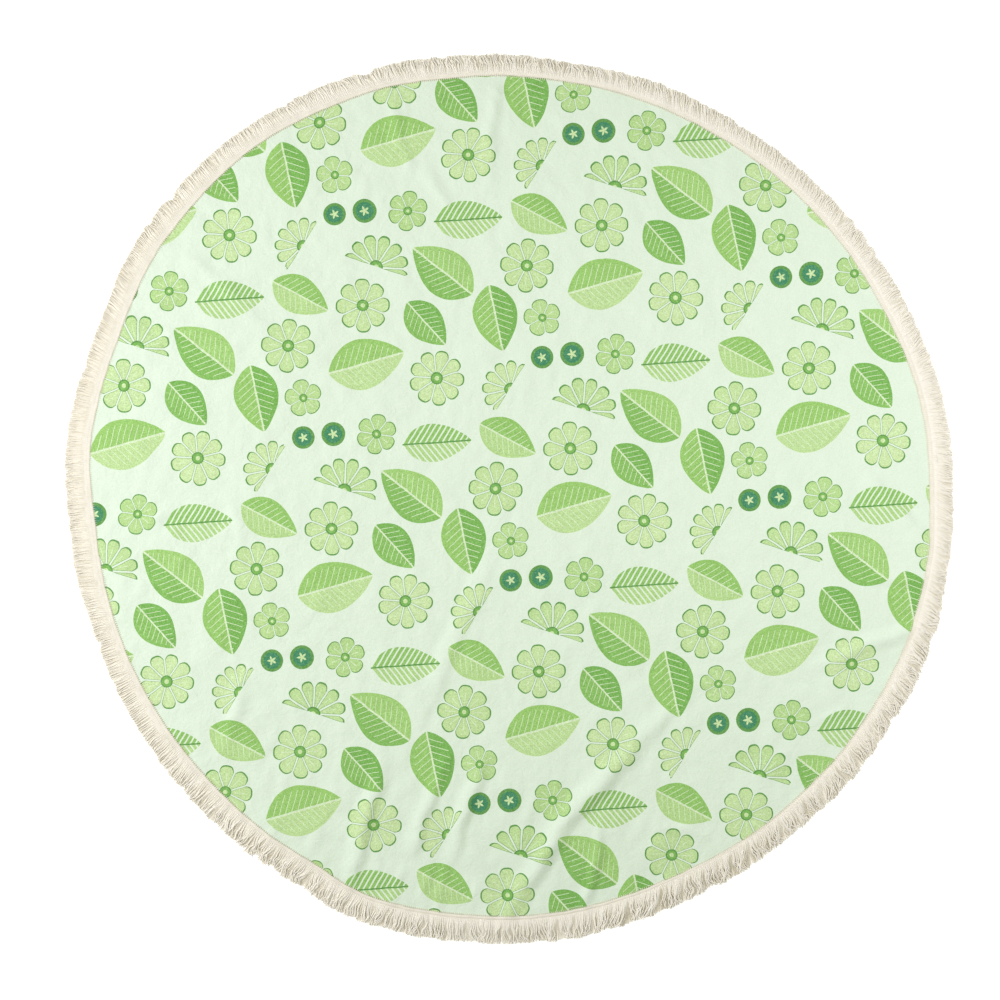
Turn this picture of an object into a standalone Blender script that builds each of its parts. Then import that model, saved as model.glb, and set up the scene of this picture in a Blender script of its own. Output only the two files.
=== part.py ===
"""Round beach towel lying flat: a printed cloth, a woven heading and a cut fringe.

Metres, +Z up. The origin is the middle of the towel's outline, on the surface it lies on.
Three pieces are made: the cloth with its folds, the heading tape on the cloth's edge, and
the fringe, which is one comb along the heading. All three follow the same folds.
"""

from math import atan2, cos, pi, radians, sin
from typing import NamedTuple

import bpy
from mathutils import Vector
from mathutils.geometry import delaunay_2d_cdt

MM = 0.001

# Driving sizes
TIP_RADIUS = 748 * MM          # middle of the towel to the fringe's tips, on average
EDGE_RADIUS = 707 * MM         # middle of the towel to the heading's inner edge, on average
HEADING_WIDTH = 15 * MM
CLOTH_THICKNESS = 2.0 * MM
HEADING_THICKNESS = 1.4 * MM
ROOT_THICKNESS = 3.2 * MM      # fringe where it leaves the heading
TIP_THICKNESS = 1.6 * MM       # fringe at its cut ends
GAP = 0.3 * MM                 # between pieces that touch

# Fringe
TEETH = 160
SPINE_WIDTH = 5 * MM           # solid band of the comb next to the heading
ROOT_NOTCH = 2.0 * MM          # gap between two teeth at the spine
TIP_NOTCH = 5.0 * MM           # the same gap at the tips
TIP_UNEVENNESS = 2.5 * MM      # most that a tooth is longer or shorter than its outline
LONG_WAVE_STEP = 2.4           # the unevenness is two waves: radians from tooth to tooth
SHORT_WAVE_STEP = 5.3
LONG_WAVE_SHARE = 0.6          # the long wave's part of the unevenness

# Net of the cloth
BORDER_WIDTH = 12 * MM         # ring of the cloth just inside the heading
NET_SPACING = 72 * MM          # between net points on the flat cloth
FOLD_SPACING = 27 * MM         # between net points along a fold
CLEARANCE = 9 * MM             # least distance between two net points of the cloth
FLAT_CLEARANCE = 0.55 * NET_SPACING    # the same round a net point of the flat cloth
FOLD_END_FULLNESS = 0.7        # under 1, a fold keeps its height longer towards its ends
NET_TOLERANCE = 0.001 * MM

# Finishes: base colour and roughness
MINT_CLOTH = ((0.78, 0.90, 0.72), 0.90)
CREAM_TAPE = ((0.87, 0.79, 0.67), 0.85)
CREAM_YARN = ((0.86, 0.78, 0.66), 0.90)
CREASE_ANGLE_DEG = 40          # edges sharper than this are shaded sharp


class OutlineRow(NamedTuple):
    """How far the towel's outline lies outside its average circles, at one angle."""

    angle_deg: float
    tips_mm: float
    edge_mm: float


OUTLINE = [
    OutlineRow(0, 1, 4),
    OutlineRow(12, 5, 7),
    OutlineRow(32, -2, 1),
    OutlineRow(60, -8, 0),
    OutlineRow(80, -6, 3),
    OutlineRow(95, 6, 8),
    OutlineRow(110, 15, 18),
    OutlineRow(126, 18, 24),
    OutlineRow(142, 16, 18),
    OutlineRow(160, 0, 3),
    OutlineRow(171, 2, 3),
    OutlineRow(186, -11, -11),
    OutlineRow(201, -21, -13),
    OutlineRow(220, -13, -15),
    OutlineRow(240, -8, -12),
    OutlineRow(251, 4, 2),
    OutlineRow(270, 0, -4),
    OutlineRow(295, -8, -12),
    OutlineRow(312, -8, -7),
    OutlineRow(325, 0, -1),
    OutlineRow(342, 8, 7),
    OutlineRow(352, 2, 8),
]


class FoldRow(NamedTuple):
    """One soft fold: its crest runs from start to end, and its two flanks fall to the flat."""

    place: str
    start_x_mm: float
    start_y_mm: float
    end_x_mm: float
    end_y_mm: float
    bow_mm: float              # how far the crest's middle lies to the left of its chord
    left_mm: float             # width of the flank on the left, going from start to end
    right_mm: float
    height_mm: float


FOLDS = [
    FoldRow("bottom, far left", -205, -430, -274, -668, 0, 22, 30, 6.5),
    FoldRow("bottom, left", -101, -420, -166, -606, 0, 20, 26, 5.0),
    FoldRow("bottom, middle", -38, -425, -98, -618, 0, 20, 28, 6.0),
    FoldRow("bottom, long one", 282, -350, -16, -728, -22, 30, 34, 9.0),
    FoldRow("bottom, right", 158, -545, 130, -706, 0, 16, 18, 5.0),
    FoldRow("bottom, far right", 245, -552, 345, -566, 0, 18, 18, 3.0),
    FoldRow("middle, long diagonal", -22, -84, -176, -420, 8, 20, 44, 3.0),
    FoldRow("right, low", 512, -286, 712, -206, 0, 22, 26, 6.0),
    FoldRow("right, middle", 600, 40, 718, -84, 0, 22, 26, 5.0),
    FoldRow("right, flat one", 596, -140, 722, -130, 0, 18, 18, 3.0),
    FoldRow("upper left", -556, 410, -410, 284, 12, 24, 24, 3.5),
    FoldRow("top, left", -200, 690, -166, 552, 0, 20, 20, 3.0),
    FoldRow("top, inner left", -148, 566, -92, 478, 0, 20, 20, 3.0),
    FoldRow("top, middle", -18, 716, -36, 516, 0, 22, 24, 3.5),
    FoldRow("lower left", -444, -296, -480, -440, 0, 22, 22, 3.0),
]


def eased(share: float) -> float:
    """Return the share from 0 to 1, eased at both ends."""
    share = min(max(share, 0.0), 1.0)
    return share * share * (3 - 2 * share)


def outline_offsets(angle: float) -> tuple[float, float]:
    """Return the tips' and the edge's distance outside their average circles, in metres."""
    turn = (angle * 180 / pi) % 360
    rows = OUTLINE + [OUTLINE[0]._replace(angle_deg=360)]
    for low, high in zip(rows, rows[1:]):
        if low.angle_deg <= turn <= high.angle_deg:
            share = eased((turn - low.angle_deg) / (high.angle_deg - low.angle_deg))
            tips = low.tips_mm + (high.tips_mm - low.tips_mm) * share
            edge = low.edge_mm + (high.edge_mm - low.edge_mm) * share
            return tips * MM, edge * MM
    raise ValueError("the outline's rows must run from 0 to 360 degrees")


def polar(radius: float, angle: float) -> Vector:
    """Return the point of the plane at this radius and angle."""
    return Vector((radius * cos(angle), radius * sin(angle)))


def heading_inner(angle: float) -> float:
    """Return the radius of the heading's inner edge, which is the cloth's visible edge."""
    return EDGE_RADIUS + outline_offsets(angle)[1]


def heading_outer(angle: float) -> float:
    """Return the radius of the heading's outer edge."""
    return heading_inner(angle) + HEADING_WIDTH


def fringe_tip(angle: float) -> float:
    """Return the radius of the fringe's tips."""
    return TIP_RADIUS + outline_offsets(angle)[0]


def tip_unevenness(tooth: int) -> float:
    """Return how much longer than its outline this tooth is: two waves that never line up."""
    long_wave = LONG_WAVE_SHARE * sin(tooth * LONG_WAVE_STEP)
    short_wave = (1 - LONG_WAVE_SHARE) * cos(tooth * SHORT_WAVE_STEP)
    return TIP_UNEVENNESS * (long_wave + short_wave)


def fold_frame(fold: FoldRow) -> tuple[Vector, Vector, Vector, float]:
    """Return a fold's start, its direction, the direction to its left, and its length."""
    start = Vector((fold.start_x_mm, fold.start_y_mm)) * MM
    chord = Vector((fold.end_x_mm, fold.end_y_mm)) * MM - start
    along = chord.normalized()
    return start, along, Vector((-along.y, along.x)), chord.length


def fold_height(fold: FoldRow, point: Vector) -> float:
    """Return how high one fold lifts the cloth at a point."""
    start, along, left, length = fold_frame(fold)
    share = (point - start).dot(along) / length
    if not 0 < share < 1:
        return 0.0
    side = (point - start).dot(left) - 4 * fold.bow_mm * MM * share * (1 - share)
    width = (fold.left_mm if side > 0 else fold.right_mm) * MM
    if abs(side) >= width:
        return 0.0
    flank = 0.5 + 0.5 * cos(pi * side / width)
    return fold.height_mm * MM * flank * sin(pi * share) ** FOLD_END_FULLNESS


def lift(point: Vector) -> float:
    """Return how high the cloth's underside lies above the surface at a point."""
    return max(fold_height(fold, point) for fold in FOLDS)


def station(index: int) -> float:
    """Return the angle of one of the stations that all three pieces share."""
    return 2 * pi * (index % TEETH) / TEETH


def ring_points(radius_at) -> list[Vector]:
    """Return a ring's points at the stations, from its radius as a function of the angle."""
    return [polar(radius_at(station(i)), station(i)) for i in range(TEETH)]


class Shell:
    """The points and faces of one piece, gathered before they become an object."""

    def __init__(self) -> None:
        self.points: list[tuple[float, float, float]] = []
        self.faces: list[tuple[int, ...]] = []

    def add_points(self, places: list[Vector], heights: list[float]) -> list[int]:
        """Add points at these places and heights, and return their numbers."""
        first = len(self.points)
        self.points += [(p.x, p.y, z) for p, z in zip(places, heights)]
        return list(range(first, len(self.points)))

    def add_face(self, *corners: int) -> None:
        """Add one face, its corners counter-clockwise as seen from outside."""
        self.faces.append(corners)

    def add_band(self, first: list[int], second: list[int], turned: bool = False) -> None:
        """Join two closed rings by triangles, with the same diagonals when turned over."""
        count = len(first)
        for i in range(count):
            j = (i + 1) % count
            for face in ((first[i], second[i], second[j]), (first[i], second[j], first[j])):
                self.add_face(*(reversed(face) if turned else face))

    def to_object(self, name: str, finish: tuple[tuple[float, float, float], float]):
        """Make the piece's object with its own material, round the outline's middle."""
        centre_x, centre_y = outline_centre()
        mesh = bpy.data.meshes.new(name)
        mesh.from_pydata([(x - centre_x, y - centre_y, z) for x, y, z in self.points], [],
                         self.faces)
        mesh.update()
        mesh.shade_smooth()
        mesh.set_sharp_from_angle(angle=radians(CREASE_ANGLE_DEG))
        piece = bpy.data.objects.new(name, mesh)
        piece.data.materials.append(fabric(name, finish))
        bpy.context.scene.collection.objects.link(piece)


def fabric(name: str, finish: tuple[tuple[float, float, float], float]):
    """Return a plain fabric material of this colour and roughness."""
    colour, roughness = finish
    material = bpy.data.materials.new(name + "_fabric")
    material.use_nodes = True
    shader = material.node_tree.nodes["Principled BSDF"]
    shader.inputs["Base Color"].default_value = (*colour, 1)
    shader.inputs["Roughness"].default_value = roughness
    shader.inputs["Metallic"].default_value = 0
    return material


def tooth_tips(tooth: int) -> tuple[Vector, Vector]:
    """Return the two tip corners of one tooth of the fringe."""
    low, high = station(tooth), station(tooth) + 2 * pi / TEETH
    radius = fringe_tip((low + high) / 2) + tip_unevenness(tooth)
    half_notch = TIP_NOTCH / 2 / radius
    return polar(radius, low + half_notch), polar(radius, high - half_notch)


def outline_centre() -> tuple[float, float]:
    """Return the middle of the box round the fringe's tips."""
    corners = [corner for tooth in range(TEETH) for corner in tooth_tips(tooth)]
    xs = [corner.x for corner in corners]
    ys = [corner.y for corner in corners]
    return (min(xs) + max(xs)) / 2, (min(ys) + max(ys)) / 2


def fold_net_points() -> list[Vector]:
    """Return net points along each fold: its foot, flank, crest, flank and foot."""
    points: list[Vector] = []
    for fold in FOLDS:
        start, along, left, length = fold_frame(fold)
        rows = max(3, round(length / FOLD_SPACING))
        for row in range(rows + 1):
            share = row / rows
            bow = 4 * fold.bow_mm * MM * share * (1 - share)
            crest = start + along * length * share + left * bow
            for side in (-fold.right_mm, -fold.right_mm / 2, 0, fold.left_mm / 2, fold.left_mm):
                points.append(crest + left * side * MM)
    return points


def flat_net_points() -> list[Vector]:
    """Return net points on a staggered grid over the whole cloth."""
    reach = TIP_RADIUS
    rows = int(2 * reach / NET_SPACING) + 1
    points = []
    for row in range(rows):
        for column in range(rows):
            stagger = 0.5 if row % 2 else 0.0
            points.append(Vector(((column + stagger) * NET_SPACING - reach,
                                  row * NET_SPACING - reach)))
    return points


def border_radius(angle: float) -> float:
    """Return the radius of the ring just inside the heading."""
    return heading_inner(angle) - BORDER_WIDTH


def lies_inside(triangle: tuple[int, ...]) -> bool:
    """Tell whether a net triangle isn't in a hollow of the border, outside the cloth.

    Such a triangle has all its corners on the border, and takes them against its order.
    """
    low = triangle.index(min(triangle))
    second, third = triangle[low - 2], triangle[low - 1]
    return max(triangle) >= TEETH or second < third


def cloth_net(border: list[Vector]) -> tuple[list[Vector], list[tuple[int, ...]]]:
    """Return the cloth's net inside its border ring: points and triangles, border first."""
    kept = list(border)

    def fits(point: Vector, distance: float) -> bool:
        if point.length > border_radius(atan2(point.y, point.x)) - CLEARANCE:
            return False
        return all((point - other).length > distance for other in kept)

    for point in fold_net_points():
        if fits(point, CLEARANCE):
            kept.append(point)
    for point in flat_net_points():
        if fits(point, FLAT_CLEARANCE):
            kept.append(point)
    ring = list(range(len(border)))
    faces = delaunay_2d_cdt(kept, [], [ring], 1, NET_TOLERANCE, False)[2]
    return kept, [tuple(face) for face in faces if lies_inside(tuple(face))]


def make_cloth() -> None:
    """Make the cloth: a sheet of even thickness that follows the folds."""
    border = ring_points(border_radius)
    net, triangles = cloth_net(border)
    shell = Shell()
    sides = []
    for thickness in (0.0, CLOTH_THICKNESS):
        inside = shell.add_points(net, [lift(p) + thickness for p in net])
        rings = [inside[:TEETH]]
        for radius_at in (heading_inner, heading_outer):
            places = ring_points(radius_at)
            rings.append(shell.add_points(places, [lift(p) + thickness for p in places]))
        sides.append((inside, rings))
    (low_net, low_rings), (high_net, high_rings) = sides
    for a, b, c in triangles:
        shell.add_face(high_net[a], high_net[b], high_net[c])
        shell.add_face(low_net[a], low_net[c], low_net[b])
    for inner, outer in zip(high_rings, high_rings[1:]):
        shell.add_band(inner, outer)
    for inner, outer in zip(low_rings, low_rings[1:]):
        shell.add_band(inner, outer, turned=True)
    shell.add_band(high_rings[-1], low_rings[-1])
    shell.to_object("towel_cloth", MINT_CLOTH)


def make_heading() -> None:
    """Make the heading: a tape that lies on the cloth's edge and follows its folds."""
    shell = Shell()
    base = CLOTH_THICKNESS + GAP
    inner, outer = ring_points(heading_inner), ring_points(heading_outer)
    low_inner = shell.add_points(inner, [lift(p) + base for p in inner])
    low_outer = shell.add_points(outer, [lift(p) + base for p in outer])
    top = base + HEADING_THICKNESS
    high_inner = shell.add_points(inner, [lift(p) + top for p in inner])
    high_outer = shell.add_points(outer, [lift(p) + top for p in outer])
    shell.add_band(high_inner, high_outer)
    shell.add_band(high_outer, low_outer)
    shell.add_band(low_inner, low_outer, turned=True)
    shell.add_band(low_inner, high_inner)
    shell.to_object("fringe_heading", CREAM_TAPE)


def spine_outer(angle: float) -> float:
    """Return the radius at which the fringe's teeth leave its spine."""
    return heading_outer(angle) + GAP + SPINE_WIDTH


def tooth_roots(tooth: int) -> tuple[Vector, Vector]:
    """Return the two root corners of one tooth of the fringe."""
    low, high = station(tooth), station(tooth) + 2 * pi / TEETH
    half_notch = ROOT_NOTCH / 2 / TIP_RADIUS
    return (polar(spine_outer(low), low + half_notch),
            polar(spine_outer(high), high - half_notch))


def add_fringe_side(shell: Shell, thick: bool) -> tuple[list[int], list[list[int]]]:
    """Add the points of the fringe's upper or lower side.

    Returns the spine's ring, and for each tooth its root, tip, far tip and far root.
    """
    root_depth, tip_depth = (ROOT_THICKNESS, TIP_THICKNESS) if thick else (0.0, 0.0)
    ring = ring_points(lambda angle: heading_outer(angle) + GAP)
    spine = shell.add_points(ring, [lift(p) + root_depth for p in ring])
    teeth = []
    for tooth in range(TEETH):
        root, far_root = tooth_roots(tooth)
        tip, far_tip = tooth_tips(tooth)
        heights = [lift(root) + root_depth, tip_depth, tip_depth, lift(far_root) + root_depth]
        teeth.append(shell.add_points([root, tip, far_tip, far_root], heights))
    return spine, teeth


def make_fringe() -> None:
    """Make the fringe: one comb, its spine against the heading and its teeth to the tips."""
    shell = Shell()
    low_spine, low_teeth = add_fringe_side(shell, thick=False)
    high_spine, high_teeth = add_fringe_side(shell, thick=True)
    shell.add_band(low_spine, high_spine)
    for tooth in range(TEETH):
        after = (tooth + 1) % TEETH
        for spine, teeth, upper in ((high_spine, high_teeth, True), (low_spine, low_teeth, False)):
            root, tip, far_tip, far_root = teeth[tooth]
            for face in ((spine[tooth], root, far_root),
                         (spine[tooth], far_root, spine[after]),
                         (root, tip, far_tip),
                         (root, far_tip, far_root),
                         (spine[after], far_root, teeth[after][0])):
                shell.add_face(*(face if upper else reversed(face)))
        low_wall = low_teeth[tooth] + [low_teeth[after][0]]
        high_wall = high_teeth[tooth] + [high_teeth[after][0]]
        for i in range(len(low_wall) - 1):
            shell.add_face(low_wall[i], low_wall[i + 1], high_wall[i + 1])
            shell.add_face(low_wall[i], high_wall[i + 1], high_wall[i])
    shell.to_object("fringe_comb", CREAM_YARN)


def main() -> None:
    """Clear the scene and make the three pieces."""
    for old in list(bpy.data.objects):
        bpy.data.objects.remove(old, do_unlink=True)
    make_cloth()
    make_heading()
    make_fringe()


main()
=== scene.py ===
"""Looks of a round beach towel that lies flat, printed side up.

A round of printed microfibre towelling lies with its soft folds and creases. A woven cotton
tape covers its hem, is sewn down by two rows of stitches, and carries a cut cotton fringe.
Lengths are in metres and the tables are in millimetres. +Z is up, +Y the photograph's top.
"""

import logging
import math
from dataclasses import dataclass
from enum import Enum
from typing import NamedTuple

import bpy
import numpy as np
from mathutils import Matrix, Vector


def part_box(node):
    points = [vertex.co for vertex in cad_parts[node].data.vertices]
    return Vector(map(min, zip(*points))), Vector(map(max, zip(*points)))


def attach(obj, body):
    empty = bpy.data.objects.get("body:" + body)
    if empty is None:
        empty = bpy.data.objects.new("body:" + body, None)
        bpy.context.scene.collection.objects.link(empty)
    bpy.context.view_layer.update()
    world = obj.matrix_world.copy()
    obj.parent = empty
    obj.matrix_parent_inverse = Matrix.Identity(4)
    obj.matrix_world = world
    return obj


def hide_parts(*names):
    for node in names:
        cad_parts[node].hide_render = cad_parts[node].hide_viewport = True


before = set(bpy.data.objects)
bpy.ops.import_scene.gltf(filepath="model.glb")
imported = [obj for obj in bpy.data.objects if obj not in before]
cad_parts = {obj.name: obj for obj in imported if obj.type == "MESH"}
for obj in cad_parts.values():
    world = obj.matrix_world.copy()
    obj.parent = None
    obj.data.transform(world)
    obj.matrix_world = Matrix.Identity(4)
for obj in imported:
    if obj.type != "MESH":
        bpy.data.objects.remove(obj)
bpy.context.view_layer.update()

log = logging.getLogger("round_beach_towel")

MM = 0.001
FULL_TURN = 2 * math.pi
BODY = "root"
MATH = "ShaderNodeMath"
VECTOR = "ShaderNodeVectorMath"
PARTS = "ShaderNodeSeparateXYZ"
MIX = "ShaderNodeMix"
RAMP = "ShaderNodeValToRGB"
NOISE = "ShaderNodeTexNoise"
RANGE = "ShaderNodeMapRange"
BUMP = "ShaderNodeBump"


def linear(colour: str) -> tuple[float, float, float, float]:
    """Turns an sRGB hex colour, such as "#F0E6D6", into linear red, green, blue and alpha."""
    shares = [int(colour[place : place + 2], 16) / 255 for place in (1, 3, 5)]
    turned = [s / 12.92 if s <= 0.04045 else ((s + 0.055) / 1.055) ** 2.4 for s in shares]
    return (*turned, 1.0)


def join(tree: bpy.types.NodeTree, value: object, socket: bpy.types.NodeSocket) -> None:
    """Gives a socket a value or a link.

    Args:
        tree: the tree that the socket is in.
        value: a plain value, a hex colour, a socket, or a node, which stands for its first
            output in use.
        socket: the input to fill.
    """
    if isinstance(value, bpy.types.Node):
        value = next(output for output in value.outputs if output.enabled)
    if isinstance(value, bpy.types.NodeSocket):
        tree.links.new(value, socket)
    elif isinstance(value, str) and socket.type == "RGBA":
        socket.default_value = linear(value)
    else:
        socket.default_value = value


def add(
    tree: bpy.types.NodeTree,
    kind: str,
    *first: object,
    names: dict[str, object] | None = None,
    stops: tuple = (),
    **settings: object,
) -> bpy.types.Node:
    """Adds one node with its settings and links.

    Args:
        tree: the tree of a material, the world or a modifier.
        kind: the node's type.
        first: what goes into the node's first inputs in use, in order, as join takes it.
        names: what goes into inputs that are given by name.
        stops: a colour ramp's (place, hex colour) pairs, each flat up to the next.
        settings: the node's own properties.

    Returns:
        The node.
    """
    node = tree.nodes.new(kind)
    for name, value in settings.items():
        setattr(node, name, value)
    for number, (place, colour) in enumerate(stops):
        ramp = node.color_ramp
        ramp.interpolation = "CONSTANT"
        if 0 < number < len(stops) - 1:
            stop = ramp.elements.new(place)
        else:
            stop = ramp.elements[0 if number == 0 else -1]
            stop.position = place
        stop.color = linear(colour)
    used = [socket for socket in node.inputs if socket.enabled]
    for value, socket in zip(first, used):
        join(tree, value, socket)
    for name, value in (names or {}).items():
        join(tree, value, next(socket for socket in used if socket.name == name))
    return node


def finish_material(name: str, colour: str, shader: dict) -> tuple:
    """Starts a material with a Principled BSDF.

    Args:
        name: the material's name.
        colour: its plain colour, for views without shading.
        shader: constant values for the shader's inputs, by name.

    Returns:
        The material, its tree and its shader node.
    """
    material = bpy.data.materials.new(name)
    material.use_nodes = True
    material.diffuse_color = linear(colour)
    tree = material.node_tree
    skin = tree.nodes["Principled BSDF"]
    for key, value in shader.items():
        join(tree, value, skin.inputs[key])
    return material, tree, skin


def solid_mesh(name: str, points: np.ndarray, faces: list[np.ndarray]) -> bpy.types.Object:
    """Makes a smooth mesh object.

    Args:
        name: the piece's name.
        points: one row of x, y, z for each corner.
        faces: arrays of faces, each with one row of corner numbers for each face, anticlockwise
            from outside.

    Returns:
        The object, linked to the scene.
    """
    mesh = bpy.data.meshes.new(name)
    sizes = np.concatenate([np.full(len(some), some.shape[1]) for some in faces])
    corners = np.concatenate([some.ravel() for some in faces])
    mesh.vertices.add(len(points))
    mesh.vertices.foreach_set("co", points.astype(np.float32).ravel())
    mesh.loops.add(len(corners))
    mesh.loops.foreach_set("vertex_index", corners.astype(np.int32))
    mesh.polygons.add(len(sizes))
    mesh.polygons.foreach_set("loop_start", (np.cumsum(sizes) - sizes).astype(np.int32))
    mesh.update(calc_edges=True)
    mesh.validate()
    mesh.shade_smooth()
    piece = bpy.data.objects.new(name, mesh)
    bpy.context.scene.collection.objects.link(piece)
    return piece


def give_uv(piece: bpy.types.Object, name: str, places: np.ndarray) -> None:
    """Adds a UV map with one row of u, v for each face corner, in the faces' order."""
    layer = piece.data.uv_layers.new(name=name)
    layer.data.foreach_set("uv", places.astype(np.float32).ravel())


def place_piece(piece: bpy.types.Object, slot: str, *nodes: str) -> None:
    """Makes a piece ride on the one body, hides the CAD nodes that it stands for, and logs its
    triangles.

    Args:
        piece: the finished piece.
        slot: not used.
        nodes: the CAD nodes that it stands for, if any.
    """
    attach(piece, BODY)
    if nodes:
        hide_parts(*nodes)
    piece.data.calc_loop_triangles()
    log.info("%s: %d triangles", piece.name, len(piece.data.loop_triangles))


# --------------------------------------------------------------------------- outline and lay


class Line(Enum):
    """The closed lines that the trim runs along."""

    INNER = "inner edge of the heading tape"
    OUTER = "outer edge of the heading tape, and of the hem under it"
    TIPS = "tips of the fringe"


class OutlineRow(NamedTuple):
    """How far the outline stands out, at an angle anticlockwise from the right."""

    angle_deg: float
    tips_mm: float
    edge_mm: float


class FoldRow(NamedTuple):
    """A ridge (or, with a height below nought, a trough) between two places."""

    start_x: float
    start_y: float
    end_x: float
    end_y: float
    bow: float
    left: float
    right: float
    height: float


class WaveRow(NamedTuple):
    """One long, low wave of the cloth on the floor."""

    length_mm: float
    direction_deg: float
    start_deg: float
    height_mm: float


OUTLINE = (
    OutlineRow(0, 1, 4),
    OutlineRow(12, 5, 7),
    OutlineRow(32, -2, 1),
    OutlineRow(60, -8, 0),
    OutlineRow(80, -6, 3),
    OutlineRow(95, 6, 8),
    OutlineRow(110, 15, 18),
    OutlineRow(126, 18, 24),
    OutlineRow(142, 16, 18),
    OutlineRow(160, 0, 3),
    OutlineRow(171, 2, 3),
    OutlineRow(186, -11, -11),
    OutlineRow(201, -21, -13),
    OutlineRow(220, -13, -15),
    OutlineRow(240, -8, -12),
    OutlineRow(251, 4, 2),
    OutlineRow(270, 0, -4),
    OutlineRow(295, -8, -12),
    OutlineRow(312, -8, -7),
    OutlineRow(325, 0, -1),
    OutlineRow(342, 8, 7),
    OutlineRow(352, 2, 8),
)

# The folds that the CAD solid has too, bottom first.
FOLDS = (
    FoldRow(-205, -430, -274, -668, 0, 22, 30, 6.5),
    FoldRow(-101, -420, -166, -606, 0, 20, 26, 5.0),
    FoldRow(-38, -425, -98, -618, 0, 20, 28, 6.0),
    FoldRow(282, -350, -16, -728, -22, 30, 34, 9.0),
    FoldRow(158, -545, 130, -706, 0, 16, 18, 5.0),
    FoldRow(245, -552, 345, -566, 0, 18, 18, 3.0),
    FoldRow(-22, -84, -176, -420, 8, 20, 44, 3.0),
    FoldRow(512, -286, 712, -206, 0, 22, 26, 6.0),
    FoldRow(600, 40, 718, -84, 0, 22, 26, 5.0),
    FoldRow(596, -140, 722, -130, 0, 18, 18, 3.0),
    FoldRow(-556, 410, -410, 284, 12, 24, 24, 3.5),
    FoldRow(-200, 690, -166, 552, 0, 20, 20, 3.0),
    FoldRow(-148, 566, -92, 478, 0, 20, 20, 3.0),
    FoldRow(-18, 716, -36, 516, 0, 22, 24, 3.5),
    FoldRow(-444, -296, -480, -440, 0, 22, 22, 3.0),
)

# Creases too fine for the CAD solid: short pulls at the bottom hem, then the left side, the
# upper left, the top and the right side.
CREASES = (
    FoldRow(-196, -690, -174, -606, 3, 12, 14, 1.6),
    FoldRow(-156, -690, -132, -612, -3, 11, 14, 1.4),
    FoldRow(-120, -694, -104, -606, 2, 12, 15, 1.6),
    FoldRow(-60, -690, -52, -640, 0, 11, 12, 1.1),
    FoldRow(-522, -64, -572, -134, 4, 13, 16, 1.3),
    FoldRow(-466, 18, -440, -92, -5, 13, 15, 1.2),
    FoldRow(-624, 238, -556, 278, 3, 13, 13, 1.3),
    FoldRow(-549, 394, -420, 296, -14, 12, 14, 1.3),
    FoldRow(-404, 424, -246, 380, 10, 13, 13, 1.1),
    FoldRow(-334, 604, -262, 644, 0, 14, 12, 1.3),
    FoldRow(-174, 676, -170, 636, 0, 11, 11, 1.2),
    FoldRow(-40, 704, 26, 676, -10, 12, 12, 1.4),
    FoldRow(-180, 414, -130, 406, 0, 11, 11, 1.0),
    FoldRow(515, -372, 577, -352, 0, 13, 13, 1.5),
    FoldRow(556, -36, 562, -102, 0, 12, 13, 1.3),
    FoldRow(474, -177, 541, -203, 3, 13, 14, 1.3),
    FoldRow(616, 216, 616, 142, 0, 12, 13, 1.3),
    FoldRow(-8, -40, -150, -330, -12, 16, 16, -1.2),
    FoldRow(60, -470, -24, -640, 8, 18, 18, 1.6),
    FoldRow(330, -300, 224, -402, 6, 16, 20, 1.4),
    FoldRow(-300, -520, -352, -610, 4, 15, 18, 1.5),
    FoldRow(420, -430, 470, -500, 0, 15, 15, 1.1),
    FoldRow(300, 560, 356, 480, 4, 14, 14, 1.0),
    FoldRow(-640, -60, -560, -20, 4, 14, 14, 1.0),
)

WAVES = (
    WaveRow(212, 24, 40, 0.8),
    WaveRow(163, -61, 200, 0.8),
    WaveRow(118, 78, 310, 0.8),
    WaveRow(88, -12, 95, 0.9),
    WaveRow(66, 43, 150, 0.9),
    WaveRow(52, -78, 20, 0.75),
    WaveRow(41, 12, 260, 0.62),
    WaveRow(33, -35, 75, 0.5),
    WaveRow(27, 62, 340, 0.42),
    WaveRow(22, -8, 130, 0.32),
    WaveRow(18, 81, 240, 0.24),
)


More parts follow.
